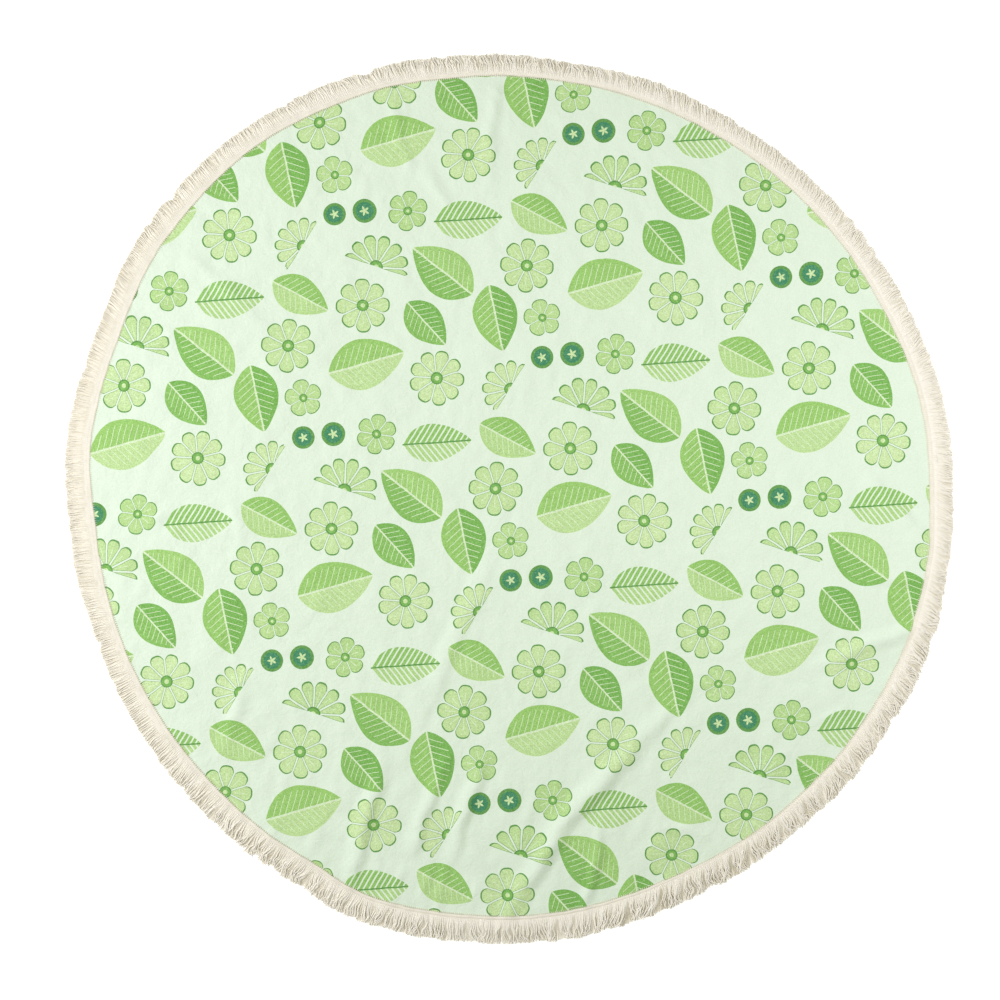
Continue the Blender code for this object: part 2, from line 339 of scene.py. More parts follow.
@dataclass(frozen=True)
class Lay:
    """How the towel lies: its uneven outline and the height of its cloth anywhere."""

    tip_radius: float = 748 * MM
    edge_radius: float = 707 * MM
    heading_width: float = 15 * MM
    cloth_thickness: float = 2 * MM
    centre_steps: int = 1440
    fold_end_fullness: float = 0.7
    fold_sharpness: float = 1.4
    crease_sharpness: float = 1.0
    # Folds wander by a slow and a quick wave, with lengths in millimetres for each radian.
    fold_wander: float = 2.5
    slow_length: tuple[float, float] = (23.0, 27.0)
    quick_wander: float = 0.6
    quick_length: tuple[float, float] = (9.5, 11.0)
    quick_slant: tuple[float, float] = (31.0, 37.0)
    # The low waves bend, and come and go in patches, over a few of their own lengths.
    wave_bend: float = 1.3
    wave_bend_over: float = 2.3
    wave_patch_over: float = 3.1
    wave_patch_slant: float = 0.6
    # The cloth is a little rougher near the bottom, at places given in millimetres.
    rougher_below: float = -200.0
    rougher_over: float = 400.0
    rougher_by: float = 0.1
    # Puckers come and go round the towel, and stand up most at the bottom.
    pucker_height: float = 0.6 * MM
    pucker_spacing: float = 31 * MM
    pucker_reach: float = 30 * MM
    pucker_mean: float = 0.6
    pucker_patchiness: float = 0.4
    pucker_more_below: float = 0.35

    def radius(self, angle: np.ndarray, line: Line) -> np.ndarray:
        """Distance of a line from the outline's centre.

        Args:
            angle: angles in radians, anticlockwise from the right.
            line: which of the lines.

        Returns:
            The distance in metres at each angle.
        """
        places = np.array([row.angle_deg for row in OUTLINE] + [360.0])
        column = "tips_mm" if line is Line.TIPS else "edge_mm"
        steps = np.array([getattr(row, column) for row in (*OUTLINE, OUTLINE[0])])
        turned = np.degrees(angle) % 360
        row = np.clip(np.searchsorted(places, turned, side="right") - 1, 0, len(OUTLINE) - 1)
        share = (turned - places[row]) / (places[row + 1] - places[row])
        eased = share * share * (3 - 2 * share)
        stands = (steps[row] + (steps[row + 1] - steps[row]) * eased) * MM
        if line is Line.TIPS:
            return self.tip_radius + stands
        return self.edge_radius + stands + (self.heading_width if line is Line.OUTER else 0)

    def centre(self) -> np.ndarray:
        """Finds where the outline's centre lies in the frame, from the box of the CAD heading.

        Returns:
            Its x and y in metres.
        """
        angle = np.arange(self.centre_steps) / self.centre_steps * FULL_TURN
        reach = self.radius(angle, Line.OUTER)
        ring = np.column_stack([reach * np.cos(angle), reach * np.sin(angle)])
        low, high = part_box("fringe_heading")
        return np.array((low + high) / 2)[:2] - (ring.min(0) + ring.max(0)) / 2

    def ring(self, angle: np.ndarray, line: Line, inset: float | np.ndarray) -> np.ndarray:
        """Points in plan on a line, moved in by inset, one row for each angle."""
        reach = self.radius(angle, line) - inset
        return self.centre() + np.column_stack([reach * np.cos(angle), reach * np.sin(angle)])

    def ridges(self, x: np.ndarray, y: np.ndarray, rows: tuple, sharpness: float) -> np.ndarray:
        """Heights of each fold or crease.

        Args:
            x: places from the outline's centre, in millimetres.
            y: the same, along the photograph's height.
            rows: the table of folds or creases.
            sharpness: how much narrower than a plain wave their crowns are.

        Returns:
            The heights in millimetres, one row for each fold or crease.
        """
        heights = []
        for row in rows:
            way = np.array([row.end_x - row.start_x, row.end_y - row.start_y])
            run = float(np.hypot(*way))
            from_x, from_y = x - row.start_x, y - row.start_y
            share = (from_x * way[0] + from_y * way[1]) / run**2
            side = (from_y * way[0] - from_x * way[1]) / run - 4 * row.bow * share * (1 - share)
            spread = np.abs(side) / np.where(side > 0, row.left, row.right)
            inside = (spread < 1) & (share > 0) & (share < 1)
            crown = 0.5 + 0.5 * np.cos(np.pi * np.where(inside, spread, 1))
            ends = np.sin(np.pi * np.clip(share, 0, 1)) ** self.fold_end_fullness
            heights.append(row.height * crown**sharpness * ends)
        return np.array(heights)

    def waves(self, x: np.ndarray, y: np.ndarray) -> np.ndarray:
        """Heights of the low waves all over the cloth.

        Args:
            x: places from the outline's centre, in millimetres.
            y: the same, along the photograph's height.

        Returns:
            The heights in millimetres.
        """
        height = np.zeros_like(x)
        for wave in WAVES:
            way, start = math.radians(wave.direction_deg), math.radians(wave.start_deg)
            along = (x * math.cos(way) + y * math.sin(way)) / wave.length_mm * FULL_TURN
            across = (y * math.cos(way) - x * math.sin(way)) / wave.length_mm * FULL_TURN
            bent = self.wave_bend * np.sin(across / self.wave_bend_over + start)
            slanting = (across + self.wave_patch_slant * along) / self.wave_patch_over
            patch = 0.5 + 0.5 * np.sin(slanting + 2 * start)
            height += wave.height_mm * patch * (0.5 + 0.5 * np.sin(along + start + bent))
        rougher = np.clip((self.rougher_below - y) / self.rougher_over, 0, 1)
        return height * (1 + self.rougher_by * rougher)

    def wandered(self, x: np.ndarray, y: np.ndarray) -> tuple[np.ndarray, np.ndarray]:
        """Moves places to and fro a little, so that no fold runs quite straight.

        Args:
            x: places from the outline's centre, in millimetres.
            y: the same, along the photograph's height.

        Returns:
            The moved x and y.
        """
        slow, quick = self.fold_wander, self.quick_wander * self.fold_wander
        slow_x, slow_y = self.slow_length
        quick_x, quick_y = self.quick_length
        slant_x, slant_y = self.quick_slant
        moved_x = x + slow * np.sin(y / slow_x) + quick * np.sin(y / quick_x + x / slant_x)
        moved_y = y + slow * np.sin(x / slow_y + 1) + quick * np.sin(x / quick_y - y / slant_y)
        return moved_x, moved_y

    def puckers(self, angle: np.ndarray, gap: np.ndarray) -> np.ndarray:
        """Heights of the puckers that the sewn tape draws in the cloth.

        Args:
            angle: angles from the outline's centre, in radians.
            gap: how far places are inside the tape's inner edge, in metres.

        Returns:
            The heights in metres.
        """
        fade = np.exp(-gap / self.pucker_reach)
        arc = angle * self.edge_radius
        # Waves that go a whole number of times round the towel make the puckers uneven.
        turn = FULL_TURN * arc / self.pucker_spacing + 1.4 * np.sin(11 * angle) + np.sin(29 * angle)
        patchy = self.pucker_patchiness * np.sin(7 * angle + 2 * np.sin(3 * angle))
        strength = self.pucker_mean + patchy - self.pucker_more_below * np.sin(angle)
        return self.pucker_height * strength * (0.5 + 0.5 * np.sin(turn)) * fade

    def top(self, x: np.ndarray, y: np.ndarray) -> np.ndarray:
        """Heights of the cloth's printed side.

        Args:
            x: places in the frame, in metres.
            y: the same, along the photograph's height.

        Returns:
            The heights in metres.
        """
        centre = self.centre()
        from_x, from_y = x - centre[0], y - centre[1]
        wide, tall = from_x / MM, from_y / MM
        moved = self.wandered(wide, tall)
        folds = self.ridges(*moved, FOLDS, self.fold_sharpness).max(0)
        creases = self.ridges(*moved, CREASES, self.crease_sharpness).sum(0)
        rise = folds + creases + self.waves(wide, tall)
        angle = np.arctan2(from_y, from_x)
        inner = self.radius(angle, Line.INNER)
        gap = np.clip(inner - np.hypot(from_x, from_y), 0, None)
        return self.cloth_thickness + np.maximum(rise * MM + self.puckers(angle, gap), 0)


# --------------------------------------------------------------------------- the print


class Motif(Enum):
    """The print's motifs: the drawing each shares, and the gap or cut that drawing takes."""

    BLOSSOM = (0, -9.0)
    FAN = (0, 0.03)
    LEAF = (1, 0.055)
    FROND = (1, 0.16)
    BERRY = (2, 0.0)


class MotifRow(NamedTuple):
    """One motif of the repeat, in units of a 300th of the repeat's side."""

    motif: Motif
    x: float
    y: float
    length: float
    width: float
    turn_deg: float
    count: int
    ink: float


REPEAT = (
    MotifRow(Motif.LEAF, 53, 38, 104, 66, 24, 6, 0.15),
    MotifRow(Motif.BLOSSOM, 37, 113, 72, 72, 10, 8, 0.1),
    MotifRow(Motif.FAN, 51, 187, 88, 44, -10, 12, 0.3),
    MotifRow(Motif.BLOSSOM, 79, 246, 54, 54, 0, 6, 0.5),
    MotifRow(Motif.BERRY, 22, 238, 32, 32, -40, 5, 0.6),
    MotifRow(Motif.BLOSSOM, 148, 31, 74, 74, -6, 9, 0.0),
    MotifRow(Motif.LEAF, 124, 101, 76, 48, -40, 5, 0.8),
    MotifRow(Motif.LEAF, 136, 173, 100, 62, 150, 6, 0.45),
    MotifRow(Motif.FROND, 160, 246, 92, 50, 12, 6, 0.3),
    MotifRow(Motif.FAN, 230, 38, 76, 38, 66, 12, 0.0),
    MotifRow(Motif.LEAF, 215, 121, 90, 58, -70, 5, 0.6),
    MotifRow(Motif.BLOSSOM, 246, 196, 72, 72, 4, 8, 0.2),
    MotifRow(Motif.LEAF, 253, 264, 84, 50, -20, 5, 0.25),
    MotifRow(Motif.BERRY, 283, 78, 30, 30, 30, 5, 0.5),
    MotifRow(Motif.BLOSSOM, 276, 130, 50, 50, 20, 5, 0.4),
)


@dataclass(frozen=True)
class PrintRepeat:
    """A half-drop repeat of blossoms, fans, leaves, fronds and berries across the cloth."""

    side: float = 380 * MM
    units: int = 300
    turn_deg: float = -8.0
    start_x: float = 37 * MM
    start_y: float = -52 * MM
    tiles: int = 4
    reach: float = 0.87
    chunk: int = 8000

    def laid_out(self) -> tuple[np.ndarray, np.ndarray, np.ndarray, np.ndarray]:
        """Lays the repeat out over the towel.

        Returns:
            For each motif its centre, its turn in radians, its half length and half width, and
            its row in REPEAT.
        """
        unit = self.side / self.units
        tilt = math.radians(self.turn_deg)
        made = []
        for number, row in enumerate(REPEAT):
            for across in range(-self.tiles, self.tiles + 1):
                for up in range(-self.tiles - 2, self.tiles + 3):
                    x = row.x * unit + across * self.side
                    y = row.y * unit + (up + across / 2) * self.side
                    at_x = x * math.cos(tilt) - y * math.sin(tilt) + self.start_x
                    at_y = x * math.sin(tilt) + y * math.cos(tilt) + self.start_y
                    turn = math.radians(row.turn_deg) + tilt
                    halves = (row.length * unit / 2, row.width * unit / 2)
                    made.append((at_x, at_y, turn, *halves, number))
        table = np.array(made)
        table = table[np.hypot(table[:, 0], table[:, 1]) < self.reach]
        return table[:, :2], table[:, 2], table[:, 3:5], table[:, 5].astype(int)

    def sort_faces(self, middles: np.ndarray, corners: np.ndarray) -> tuple:
        """Gives each face to the motif whose oval is nearest.

        Args:
            middles: the faces' middles in plan.
            corners: the faces' corners in plan, shape (faces, corners, 2).

        Returns:
            The corners in their motif's own measure, and for each face the facts (drawing,
            count, cut) and the ink.
        """
        places, turns, halves, rows = self.laid_out()
        chosen = np.zeros(len(middles), int)
        for start in range(0, len(middles), self.chunk):
            some = middles[start : start + self.chunk, None, :] - places[None]
            along = some[..., 0] * np.cos(turns) + some[..., 1] * np.sin(turns)
            across = some[..., 1] * np.cos(turns) - some[..., 0] * np.sin(turns)
            # A hair above nought, so that a face in the very middle of a motif divides too.
            share = np.hypot(along / halves[:, 0], across / halves[:, 1]) + 1e-9
            gap = np.hypot(along, across) * (1 - 1 / share)
            chosen[start : start + self.chunk] = gap.argmin(1)
        apart = corners - places[chosen][:, None, :]
        cosine, sine = np.cos(turns[chosen])[:, None], np.sin(turns[chosen])[:, None]
        along = apart[..., 0] * cosine + apart[..., 1] * sine
        across = apart[..., 1] * cosine - apart[..., 0] * sine
        half_length, half_width = halves[chosen, 0][:, None], halves[chosen, 1][:, None]
        each = [(*row.motif.value, row.count, row.ink, row.motif is Motif.FAN) for row in REPEAT]
        drawing, cut, count, ink, fan = np.array(each, float)[rows[chosen]].T
        leafy = (drawing == 1)[:, None]
        u = np.where(leafy, across / half_width, along / half_length)
        flat_side = (across + fan[:, None] * half_width) / half_length
        v = np.where(leafy, along / half_length, flat_side)
        return np.stack([u, v], 2), np.column_stack([drawing, count, cut]), ink


@dataclass(frozen=True)
class PrintedTowelling:
    """Microfibre towelling, brushed and heat-transfer printed.

    The short nap scatters light, so it looks matt, with a faint pale sheen at grazing angles.
    The inks sink in and leave a fine mottle where the nap shows through.
    """

    ground: str = "#E9F6E3"
    ground_shade: str = "#D5E9CE"
    back: str = "#EEF4EA"
    flesh: str = "#D0E8AC"
    mid: str = "#A2D074"
    deep: str = "#80B95C"
    line: str = "#679F52"
    accent: str = "#4A9068"
    pale: str = "#DDEFC8"
    roughness: float = 0.95
    specular: float = 0.15
    sheen: float = 0.04
    # Microfibre loops are about 0.8 mm, too fine to show from above, so they are drawn at 2 mm.
    nap_size: float = 2.0 * MM
    nap_depth: float = 0.25 * MM
    mottle_size: float = 2.2 * MM
    grain: float = 0.2
    crinkle_size: float = 13 * MM
    crinkle_depth: float = 1.0 * MM
    wobble_size: float = 28 * MM
    wobble: float = 0.055
    ground_mottle: float = 0.55
    wear: float = 0.12
    # Blossoms, in shares of their radius or of a petal's turn.
    petal_gap: float = 0.028
    petal_roundness: float = 3.0
    petal_notch: float = 2.3
    petal_line: float = 0.012
    rim_line: float = 0.055
    heart: float = 0.22
    heart_rings: tuple[float, float] = (0.08, 0.17)
    stroke_width: float = 0.035
    stroke_middle: float = 0.5
    stroke_reach: float = 0.2
    # Leaves and fronds, in shares of their half length or half width.
    leaf_bluntness: float = 0.8
    leaf_narrowing: float = 0.25
    vein_slant: float = 0.38
    vein_free_rim: float = 0.2
    midrib_width: float = 0.04
    widest_vein: float = 0.1
    far_side_darker: float = 0.4
    # Berries, in shares of their radius.
    berry_skin: float = 0.74
    star_points: int = 5
    star_reach: float = 0.44
    star_notch: float = 0.66

    def blossom(
        self,
        tree: bpy.types.NodeTree,
        place: bpy.types.NodeSocket,
        across: bpy.types.NodeSocket,
        along: bpy.types.NodeSocket,
        facts: bpy.types.Node,
        ink: bpy.types.NodeSocket,
    ) -> tuple:
        """Draws a blossom of separate petals, or the half of one.

        Args:
            tree: the material's tree.
            place: the place in the motif's own measure.
            across: its first part.
            along: its second part.
            facts: the node that holds the drawing, the count and the cut.
            ink: the share of deep ink.

        Returns:
            The colour node and the node that is 1 inside the drawing.
        """
        reach = add(tree, VECTOR, place, operation="LENGTH").outputs["Value"]
        turn = add(tree, MATH, across, along, operation="ARCTAN2")
        petals = add(tree, MATH, turn, facts.outputs["Y"], operation="MULTIPLY")
        steps = add(tree, MATH, petals, 1 / FULL_TURN, operation="MULTIPLY")
        aside = add(tree, MATH, steps, 0.5, operation="PINGPONG")
        left_over = add(tree, MATH, 0.5, aside, operation="SUBTRACT")
        arc = add(tree, MATH, left_over, reach, operation="MULTIPLY")
        wide = add(tree, MATH, FULL_TURN, facts.outputs["Y"], operation="DIVIDE")
        to_gap = add(tree, MATH, arc, wide, -self.petal_gap, operation="MULTIPLY_ADD")
        round_off = add(tree, MATH, aside, self.petal_roundness, operation="POWER")
        rim = add(tree, MATH, round_off, -self.petal_notch, 1.0, operation="MULTIPLY_ADD")
        to_rim = add(tree, MATH, rim, reach, operation="SUBTRACT")
        petal = add(tree, MATH, to_gap, to_rim, operation="MINIMUM")
        to_heart = add(tree, MATH, self.heart, reach, operation="SUBTRACT")
        both = add(tree, MATH, petal, to_heart, operation="MAXIMUM")
        to_cut = add(tree, MATH, along, facts.outputs["Z"], operation="SUBTRACT")
        edge = add(tree, MATH, both, to_cut, operation="MINIMUM")
        inside = add(tree, MATH, edge, 0.0, operation="GREATER_THAN")
        fill = add(tree, MIX, ink, self.flesh, self.mid, data_type="RGBA")
        on_rim = add(tree, MATH, to_rim, self.rim_line, operation="LESS_THAN")
        petal_edge = add(tree, MATH, edge, self.petal_line, operation="LESS_THAN")
        outline = add(tree, MATH, on_rim, petal_edge, operation="MAXIMUM")
        skin = add(tree, MIX, outline, fill, self.line, data_type="RGBA")
        first, second = self.heart_rings
        rings = (
            (0.0, self.flesh),
            (first, self.deep),
            (second, self.line),
            (self.heart, self.line),
        )
        core = add(tree, RAMP, reach, stops=rings)
        in_core = add(tree, MATH, reach, self.heart, operation="LESS_THAN")
        drawn = add(tree, MIX, in_core, skin, core, data_type="RGBA")
        thin = add(tree, MATH, aside, self.stroke_width, operation="LESS_THAN")
        short = add(
            tree, MATH, reach, self.stroke_middle, self.stroke_reach, operation="COMPARE"
        )
        stroke = add(tree, MATH, thin, short, operation="MULTIPLY")
        return add(tree, MIX, stroke, drawn, self.pale, data_type="RGBA"), inside

    def leaf(
        self,
        tree: bpy.types.NodeTree,
        across: bpy.types.NodeSocket,
        along: bpy.types.NodeSocket,
        facts: bpy.types.Node,
        ink: bpy.types.NodeSocket,
    ) -> tuple:
        """Draws a broad leaf with a midrib and veins, or a frond with gaps for veins.

        Args:
            tree: the material's tree.
            across: the place across the leaf, 1 at its widest.
            along: the place along the leaf, 1 at its tip.
            facts: the node that holds the drawing, the count and the gap.
            ink: the share of deep ink.

        Returns:
            The colour node and the node that is 1 inside the drawing.
        """
        square = add(tree, MATH, along, along, operation="MULTIPLY")
        under = add(tree, MATH, 1.0, square, operation="SUBTRACT", use_clamp=True)
        oval = add(tree, MATH, under, self.leaf_bluntness, operation="POWER")
        fuller = add(tree, MATH, along, -self.leaf_narrowing, 1.0, operation="MULTIPLY_ADD")
        half = add(tree, MATH, oval, fuller, operation="MULTIPLY")
        aside = add(tree, MATH, across, operation="ABSOLUTE")
        edge = add(tree, MATH, half, aside, operation="SUBTRACT")
        slant = add(tree, MATH, aside, -self.vein_slant, along, operation="MULTIPLY_ADD")
        veins = add(tree, MATH, slant, facts.outputs["Y"], operation="MULTIPLY")
        to_vein = add(tree, MATH, veins, 0.5, operation="PINGPONG")
        on_vein = add(tree, MATH, to_vein, facts.outputs["Z"], operation="LESS_THAN")
        off_rim = add(tree, MATH, edge, self.vein_free_rim, operation="GREATER_THAN")
        thin = add(tree, MATH, on_vein, off_rim, operation="MULTIPLY")
        midrib = add(tree, MATH, aside, self.midrib_width, operation="LESS_THAN")
        stroke = add(tree, MATH, thin, midrib, operation="MAXIMUM")
        is_frond = add(tree, MATH, facts.outputs["Z"], self.widest_vein, operation="GREATER_THAN")
        open_gap = add(tree, MATH, is_frond, on_vein, operation="MULTIPLY")
        full = add(tree, MATH, 1.0, open_gap, operation="SUBTRACT")
        stalk = add(tree, MATH, full, midrib, operation="MAXIMUM")
        within = add(tree, MATH, edge, 0.0, operation="GREATER_THAN")
        inside = add(tree, MATH, within, stalk, operation="MULTIPLY")
        far_side = add(tree, MATH, across, 0.0, operation="GREATER_THAN")
        depth = add(tree, MATH, far_side, self.far_side_darker, ink, operation="MULTIPLY_ADD")
        # From flesh to mid over the first half of the depth, and on to deep over the second.
        first = add(tree, MATH, depth, 2.0, operation="MULTIPLY", use_clamp=True)
        second = add(tree, MATH, depth, 2.0, -1.0, operation="MULTIPLY_ADD", use_clamp=True)
        lighter = add(tree, MIX, first, self.flesh, self.mid, data_type="RGBA")
        fill = add(tree, MIX, second, lighter, self.deep, data_type="RGBA")
        light = add(tree, MIX, is_frond, self.pale, self.line, data_type="RGBA")
        return add(tree, MIX, stroke, fill, light, data_type="RGBA"), inside

    def berry(
        self,
        tree: bpy.types.NodeTree,
        place: bpy.types.NodeSocket,
        across: bpy.types.NodeSocket,
        along: bpy.types.NodeSocket,
    ) -> tuple:
        """Draws a round, dark berry with a pale star.

        Args:
            tree: the material's tree.
            place: the place in the motif's own measure.
            across: its first part.
            along: its second part.

        Returns:
            The colour node and the node that is 1 inside the drawing.
        """
        reach = add(tree, VECTOR, place, operation="LENGTH").outputs["Value"]
        inside = add(tree, MATH, reach, 1.0, operation="LESS_THAN")
        rings = ((0.0, self.accent), (self.berry_skin, self.line), (1.0, self.line))
        skin = add(tree, RAMP, reach, stops=rings)
        turn = add(tree, MATH, across, along, operation="ARCTAN2")
        points = add(tree, MATH, turn, self.star_points / FULL_TURN, operation="MULTIPLY")
        aside = add(tree, MATH, points, 0.5, operation="PINGPONG")
        star = add(
            tree, MATH, aside, -self.star_notch, self.star_reach, operation="MULTIPLY_ADD"
        )
        on_star = add(tree, MATH, reach, star, operation="LESS_THAN")
        return add(tree, MIX, on_star, skin, self.flesh, data_type="RGBA"), inside

    def material(self) -> bpy.types.Material:
        """Makes the cloth's material: the print, its mottle, the nap and fine crinkles.

        Returns:
            The material.
        """
        material, tree, skin = finish_material(
            "microfibre_towelling_brushed_and_printed",
            self.ground,
            {
                "Roughness": self.roughness,
                "Specular IOR Level": self.specular,
                "Sheen Weight": self.sheen,
                "Sheen Roughness": 0.55,
            },
        )
        spot = add(tree, "ShaderNodeTexCoord").outputs["Object"]
        map_node = add(tree, "ShaderNodeUVMap", uv_map="Motif")
        unsteady = {"Vector": spot, "Scale": 1 / self.wobble_size, "Detail": 2.0}
        shake = add(tree, NOISE, names=unsteady).outputs["Color"]
        about = add(tree, VECTOR, shake, (0.5, 0.5, 0.5), operation="SUBTRACT")
        small = add(tree, VECTOR, about, (self.wobble, self.wobble, 0), operation="MULTIPLY")
        place = add(tree, VECTOR, map_node, small, operation="ADD")
        flat = add(tree, VECTOR, place, (1, 1, 0), operation="MULTIPLY").outputs["Vector"]
        parts = add(tree, PARTS, flat)
        across, along = parts.outputs["X"], parts.outputs["Y"]
        told = add(tree, "ShaderNodeAttribute", attribute_name="motif").outputs["Vector"]
        facts = add(tree, PARTS, told)
        ink = add(tree, "ShaderNodeAttribute", attribute_name="ink").outputs["Fac"]
        drawings = (
            self.blossom(tree, flat, across, along, facts, ink),
            self.leaf(tree, across, along, facts, ink),
            self.berry(tree, flat, across, along),
        )
        grain = {"Vector": spot, "Scale": 1 / self.mottle_size, "Detail": 2.0, "Roughness": 0.7}
        speck = add(tree, NOISE, names=grain).outputs["Fac"]
        shaded = add(tree, RANGE, speck, 0.32, 0.6, self.ground_mottle, 0.0, clamp=True)
        printed = add(tree, MIX, shaded, self.ground, self.ground_shade, data_type="RGBA")
        inked = add(tree, RANGE, speck, 0.3, 0.7, 1 - self.grain, 1 + self.grain)
        bare = add(tree, RANGE, speck, 0.5, 0.72, 0.0, self.wear, clamp=True)
        for number, (colour, inside) in enumerate(drawings):
            is_this = add(tree, MATH, facts.outputs["X"], number, 0.5, operation="COMPARE")
            share = add(tree, MATH, is_this, inside, operation="MULTIPLY")
            depth = {"Value": inked, "Color": colour}
            soaked = add(tree, "ShaderNodeHueSaturation", names=depth)
            worn = add(tree, MIX, bare, soaked, self.ground, data_type="RGBA")
            printed = add(tree, MIX, share, printed, worn, data_type="RGBA")
        is_back = add(tree, MATH, facts.outputs["X"], -0.5, operation="LESS_THAN")
        sided = add(tree, MIX, is_back, printed, self.back, data_type="RGBA")
        join(tree, sided, skin.inputs["Base Color"])
        folds = {"Vector": spot, "Scale": 1 / self.crinkle_size, "Detail": 2.0, "Distortion": 0.8}
        crinkle = add(tree, NOISE, names=folds).outputs["Fac"]
        soft = {"Strength": 1.0, "Distance": self.crinkle_depth, "Height": crinkle}
        wrinkled = add(tree, BUMP, names=soft).outputs["Normal"]
        loops = {"Vector": spot, "Scale": 1 / self.nap_size, "Detail": 3.0, "Roughness": 0.65}
        nap = add(tree, NOISE, names=loops).outputs["Fac"]
        fine = {"Strength": 0.6, "Distance": self.nap_depth, "Height": nap, "Normal": wrinkled}
        join(tree, add(tree, BUMP, names=fine), skin.inputs["Normal"])
        return material


@dataclass
class TowelCloth:
    """The round of towelling, with its hem, as one closed sheet on its folds."""

    lay: Lay
    repeat: PrintRepeat
    finish: PrintedTowelling
    grid: int = 260
    rim_inset: float = 1.0 * MM
    cut_size: float = 1.47

    def disc(self, grid: int) -> np.ndarray:
        """Draws a square grid out to the towel's outline.

        Args:
            grid: how many faces the grid has along a side.

        Returns:
            The points in plan, one row for each.
        """
        side = np.linspace(-1, 1, grid + 1)
        a, b = (part.ravel() for part in np.meshgrid(side, side, indexing="ij"))
        steep = np.abs(a) > np.abs(b)
        reach = np.where(steep, a, b)
        other = np.where(steep, b, a)
        lean = np.pi / 4 * other / np.where(reach == 0, 1, reach)
        angle = np.where(steep, lean, np.pi / 2 - lean)
        x, y = reach * np.cos(angle), reach * np.sin(angle)
        turned = np.arctan2(y, x)
        share = np.abs(reach)
        outer = self.lay.radius(turned, Line.OUTER) - self.rim_inset
        base = self.lay.edge_radius
        radius = base * share + (outer - base) * share**3
        plan = np.column_stack([radius * np.cos(turned), radius * np.sin(turned)])
        return self.lay.centre() + plan

    def border(self, grid: int) -> np.ndarray:
        """Finds the grid's border.

        Args:
            grid: how many faces the grid has along a side.

        Returns:
            The numbers of the border's points, anticlockwise.
        """
        up = np.arange(grid)
        step = grid + 1
        return np.concatenate(
            [up * step, grid * step + up, (grid - up) * step + grid, (grid - up)]
        )

    def quads(self, grid: int) -> np.ndarray:
        """Lists the grid's faces.

        Args:
            grid: how many faces the grid has along a side.

        Returns:
            The corner numbers of each face, anticlockwise from above.
        """
        i, j = (part.ravel() for part in np.meshgrid(*[np.arange(grid)] * 2, indexing="ij"))
        first = i * (grid + 1) + j
        return np.column_stack([first, first + grid + 1, first + grid + 2, first + 1])

    def build(self) -> bpy.types.Object:
        """Makes the sheet with its print's map and its map for baking.

        The back has a face for every four of the printed side, so a face of the rim has five
        corners: two below and three above.

        Returns:
            The piece.
        """
        grid, half = self.grid, self.grid // 2
        fine, coarse = self.disc(grid), self.disc(half)
        top = np.column_stack([fine, self.lay.top(*fine.T)])
        under_height = np.maximum(self.lay.top(*coarse.T) - self.lay.cloth_thickness, 0)
        under = np.column_stack([coarse, under_height])
        upper = self.quads(grid)
        lower = self.quads(half)[:, ::-1] + len(top)
        rim, foot = self.border(grid), self.border(half) + len(top)
        side = np.column_stack(
            [foot, np.roll(foot, -1), np.roll(rim, -2)[::2], np.roll(rim, -1)[::2], rim[::2]]
        )
        piece = solid_mesh("printed_cloth", np.vstack([top, under]), [upper, lower, side])
        corners = fine[upper]
        own, facts, ink = self.repeat.sort_faces(corners.mean(1), corners)
        plain = len(lower) + len(side)
        blank = np.zeros((lower.size + side.size, 2))
        give_uv(piece, "Motif", np.vstack([own.reshape(-1, 2), blank]))
        none = np.tile([-1.0, 1.0, 0.0], (plain, 1))
        told = piece.data.attributes.new("motif", "FLOAT_VECTOR", "FACE")
        told.data.foreach_set("vector", np.vstack([facts, none]).astype(np.float32).ravel())
        inked = piece.data.attributes.new("ink", "FLOAT", "FACE")
        inked.data.foreach_set("value", np.append(ink, np.zeros(plain)).astype(np.float32))
        give_uv(piece, "OFBake", self.bake_places(upper, lower, len(side)))
        return piece

    def bake_places(self, upper: np.ndarray, lower: np.ndarray, count: int) -> np.ndarray:
        """Map for baking: the printed side on the left, the rim and the back on the right.

        Args:
            upper: the printed side's faces.
            lower: the back's faces.
            count: how many faces the rim has.

        Returns:
            One row of u, v for each face corner.
        """
        grid, half = self.grid, self.grid // 2
        shared = (grid + 1) ** 2
        tops = np.column_stack(np.divmod(upper.ravel(), grid + 1)) / grid
        backs = np.column_stack(np.divmod(lower.ravel() - shared, half + 1)) / half
        run = np.arange(count)[:, None] + np.array([[0, 1, 1, 0.5, 0]])
        lift = np.tile([1.0, 1.0, 0.0, 0.0, 0.0], (count, 1))
        # Each side is scaled by the first pair and moved by the second. The rim is between them.
        return np.vstack(
            [
                tops * (0.85, 0.98) + (0.005, 0.01),
                backs * (0.115, 0.98) + (0.88, 0.01),
                np.column_stack([lift.ravel() * 0.01 + 0.862, run.ravel() / count * 0.98 + 0.01]),
            ]
        )

    def dress(self, floor: bpy.types.Object, trim: list[bpy.types.Object]) -> bpy.types.Object:
        """Args:
            floor: not used.
            trim: not used.

        Returns:
            The piece.
        """
        piece = self.build()
        piece.data.materials.append(self.finish.material())
        place_piece(piece, "cloth", "towel_cloth")
        return piece


# --------------------------------------------------------------------------- the trim


class ProfileRow(NamedTuple):
    """A point of the tape's section, from the inner edge out: its height above the cloth where
    the tape's bead stands up most, and where it lies flat."""

    across_mm: float
    height_mm: float
    flat_mm: float


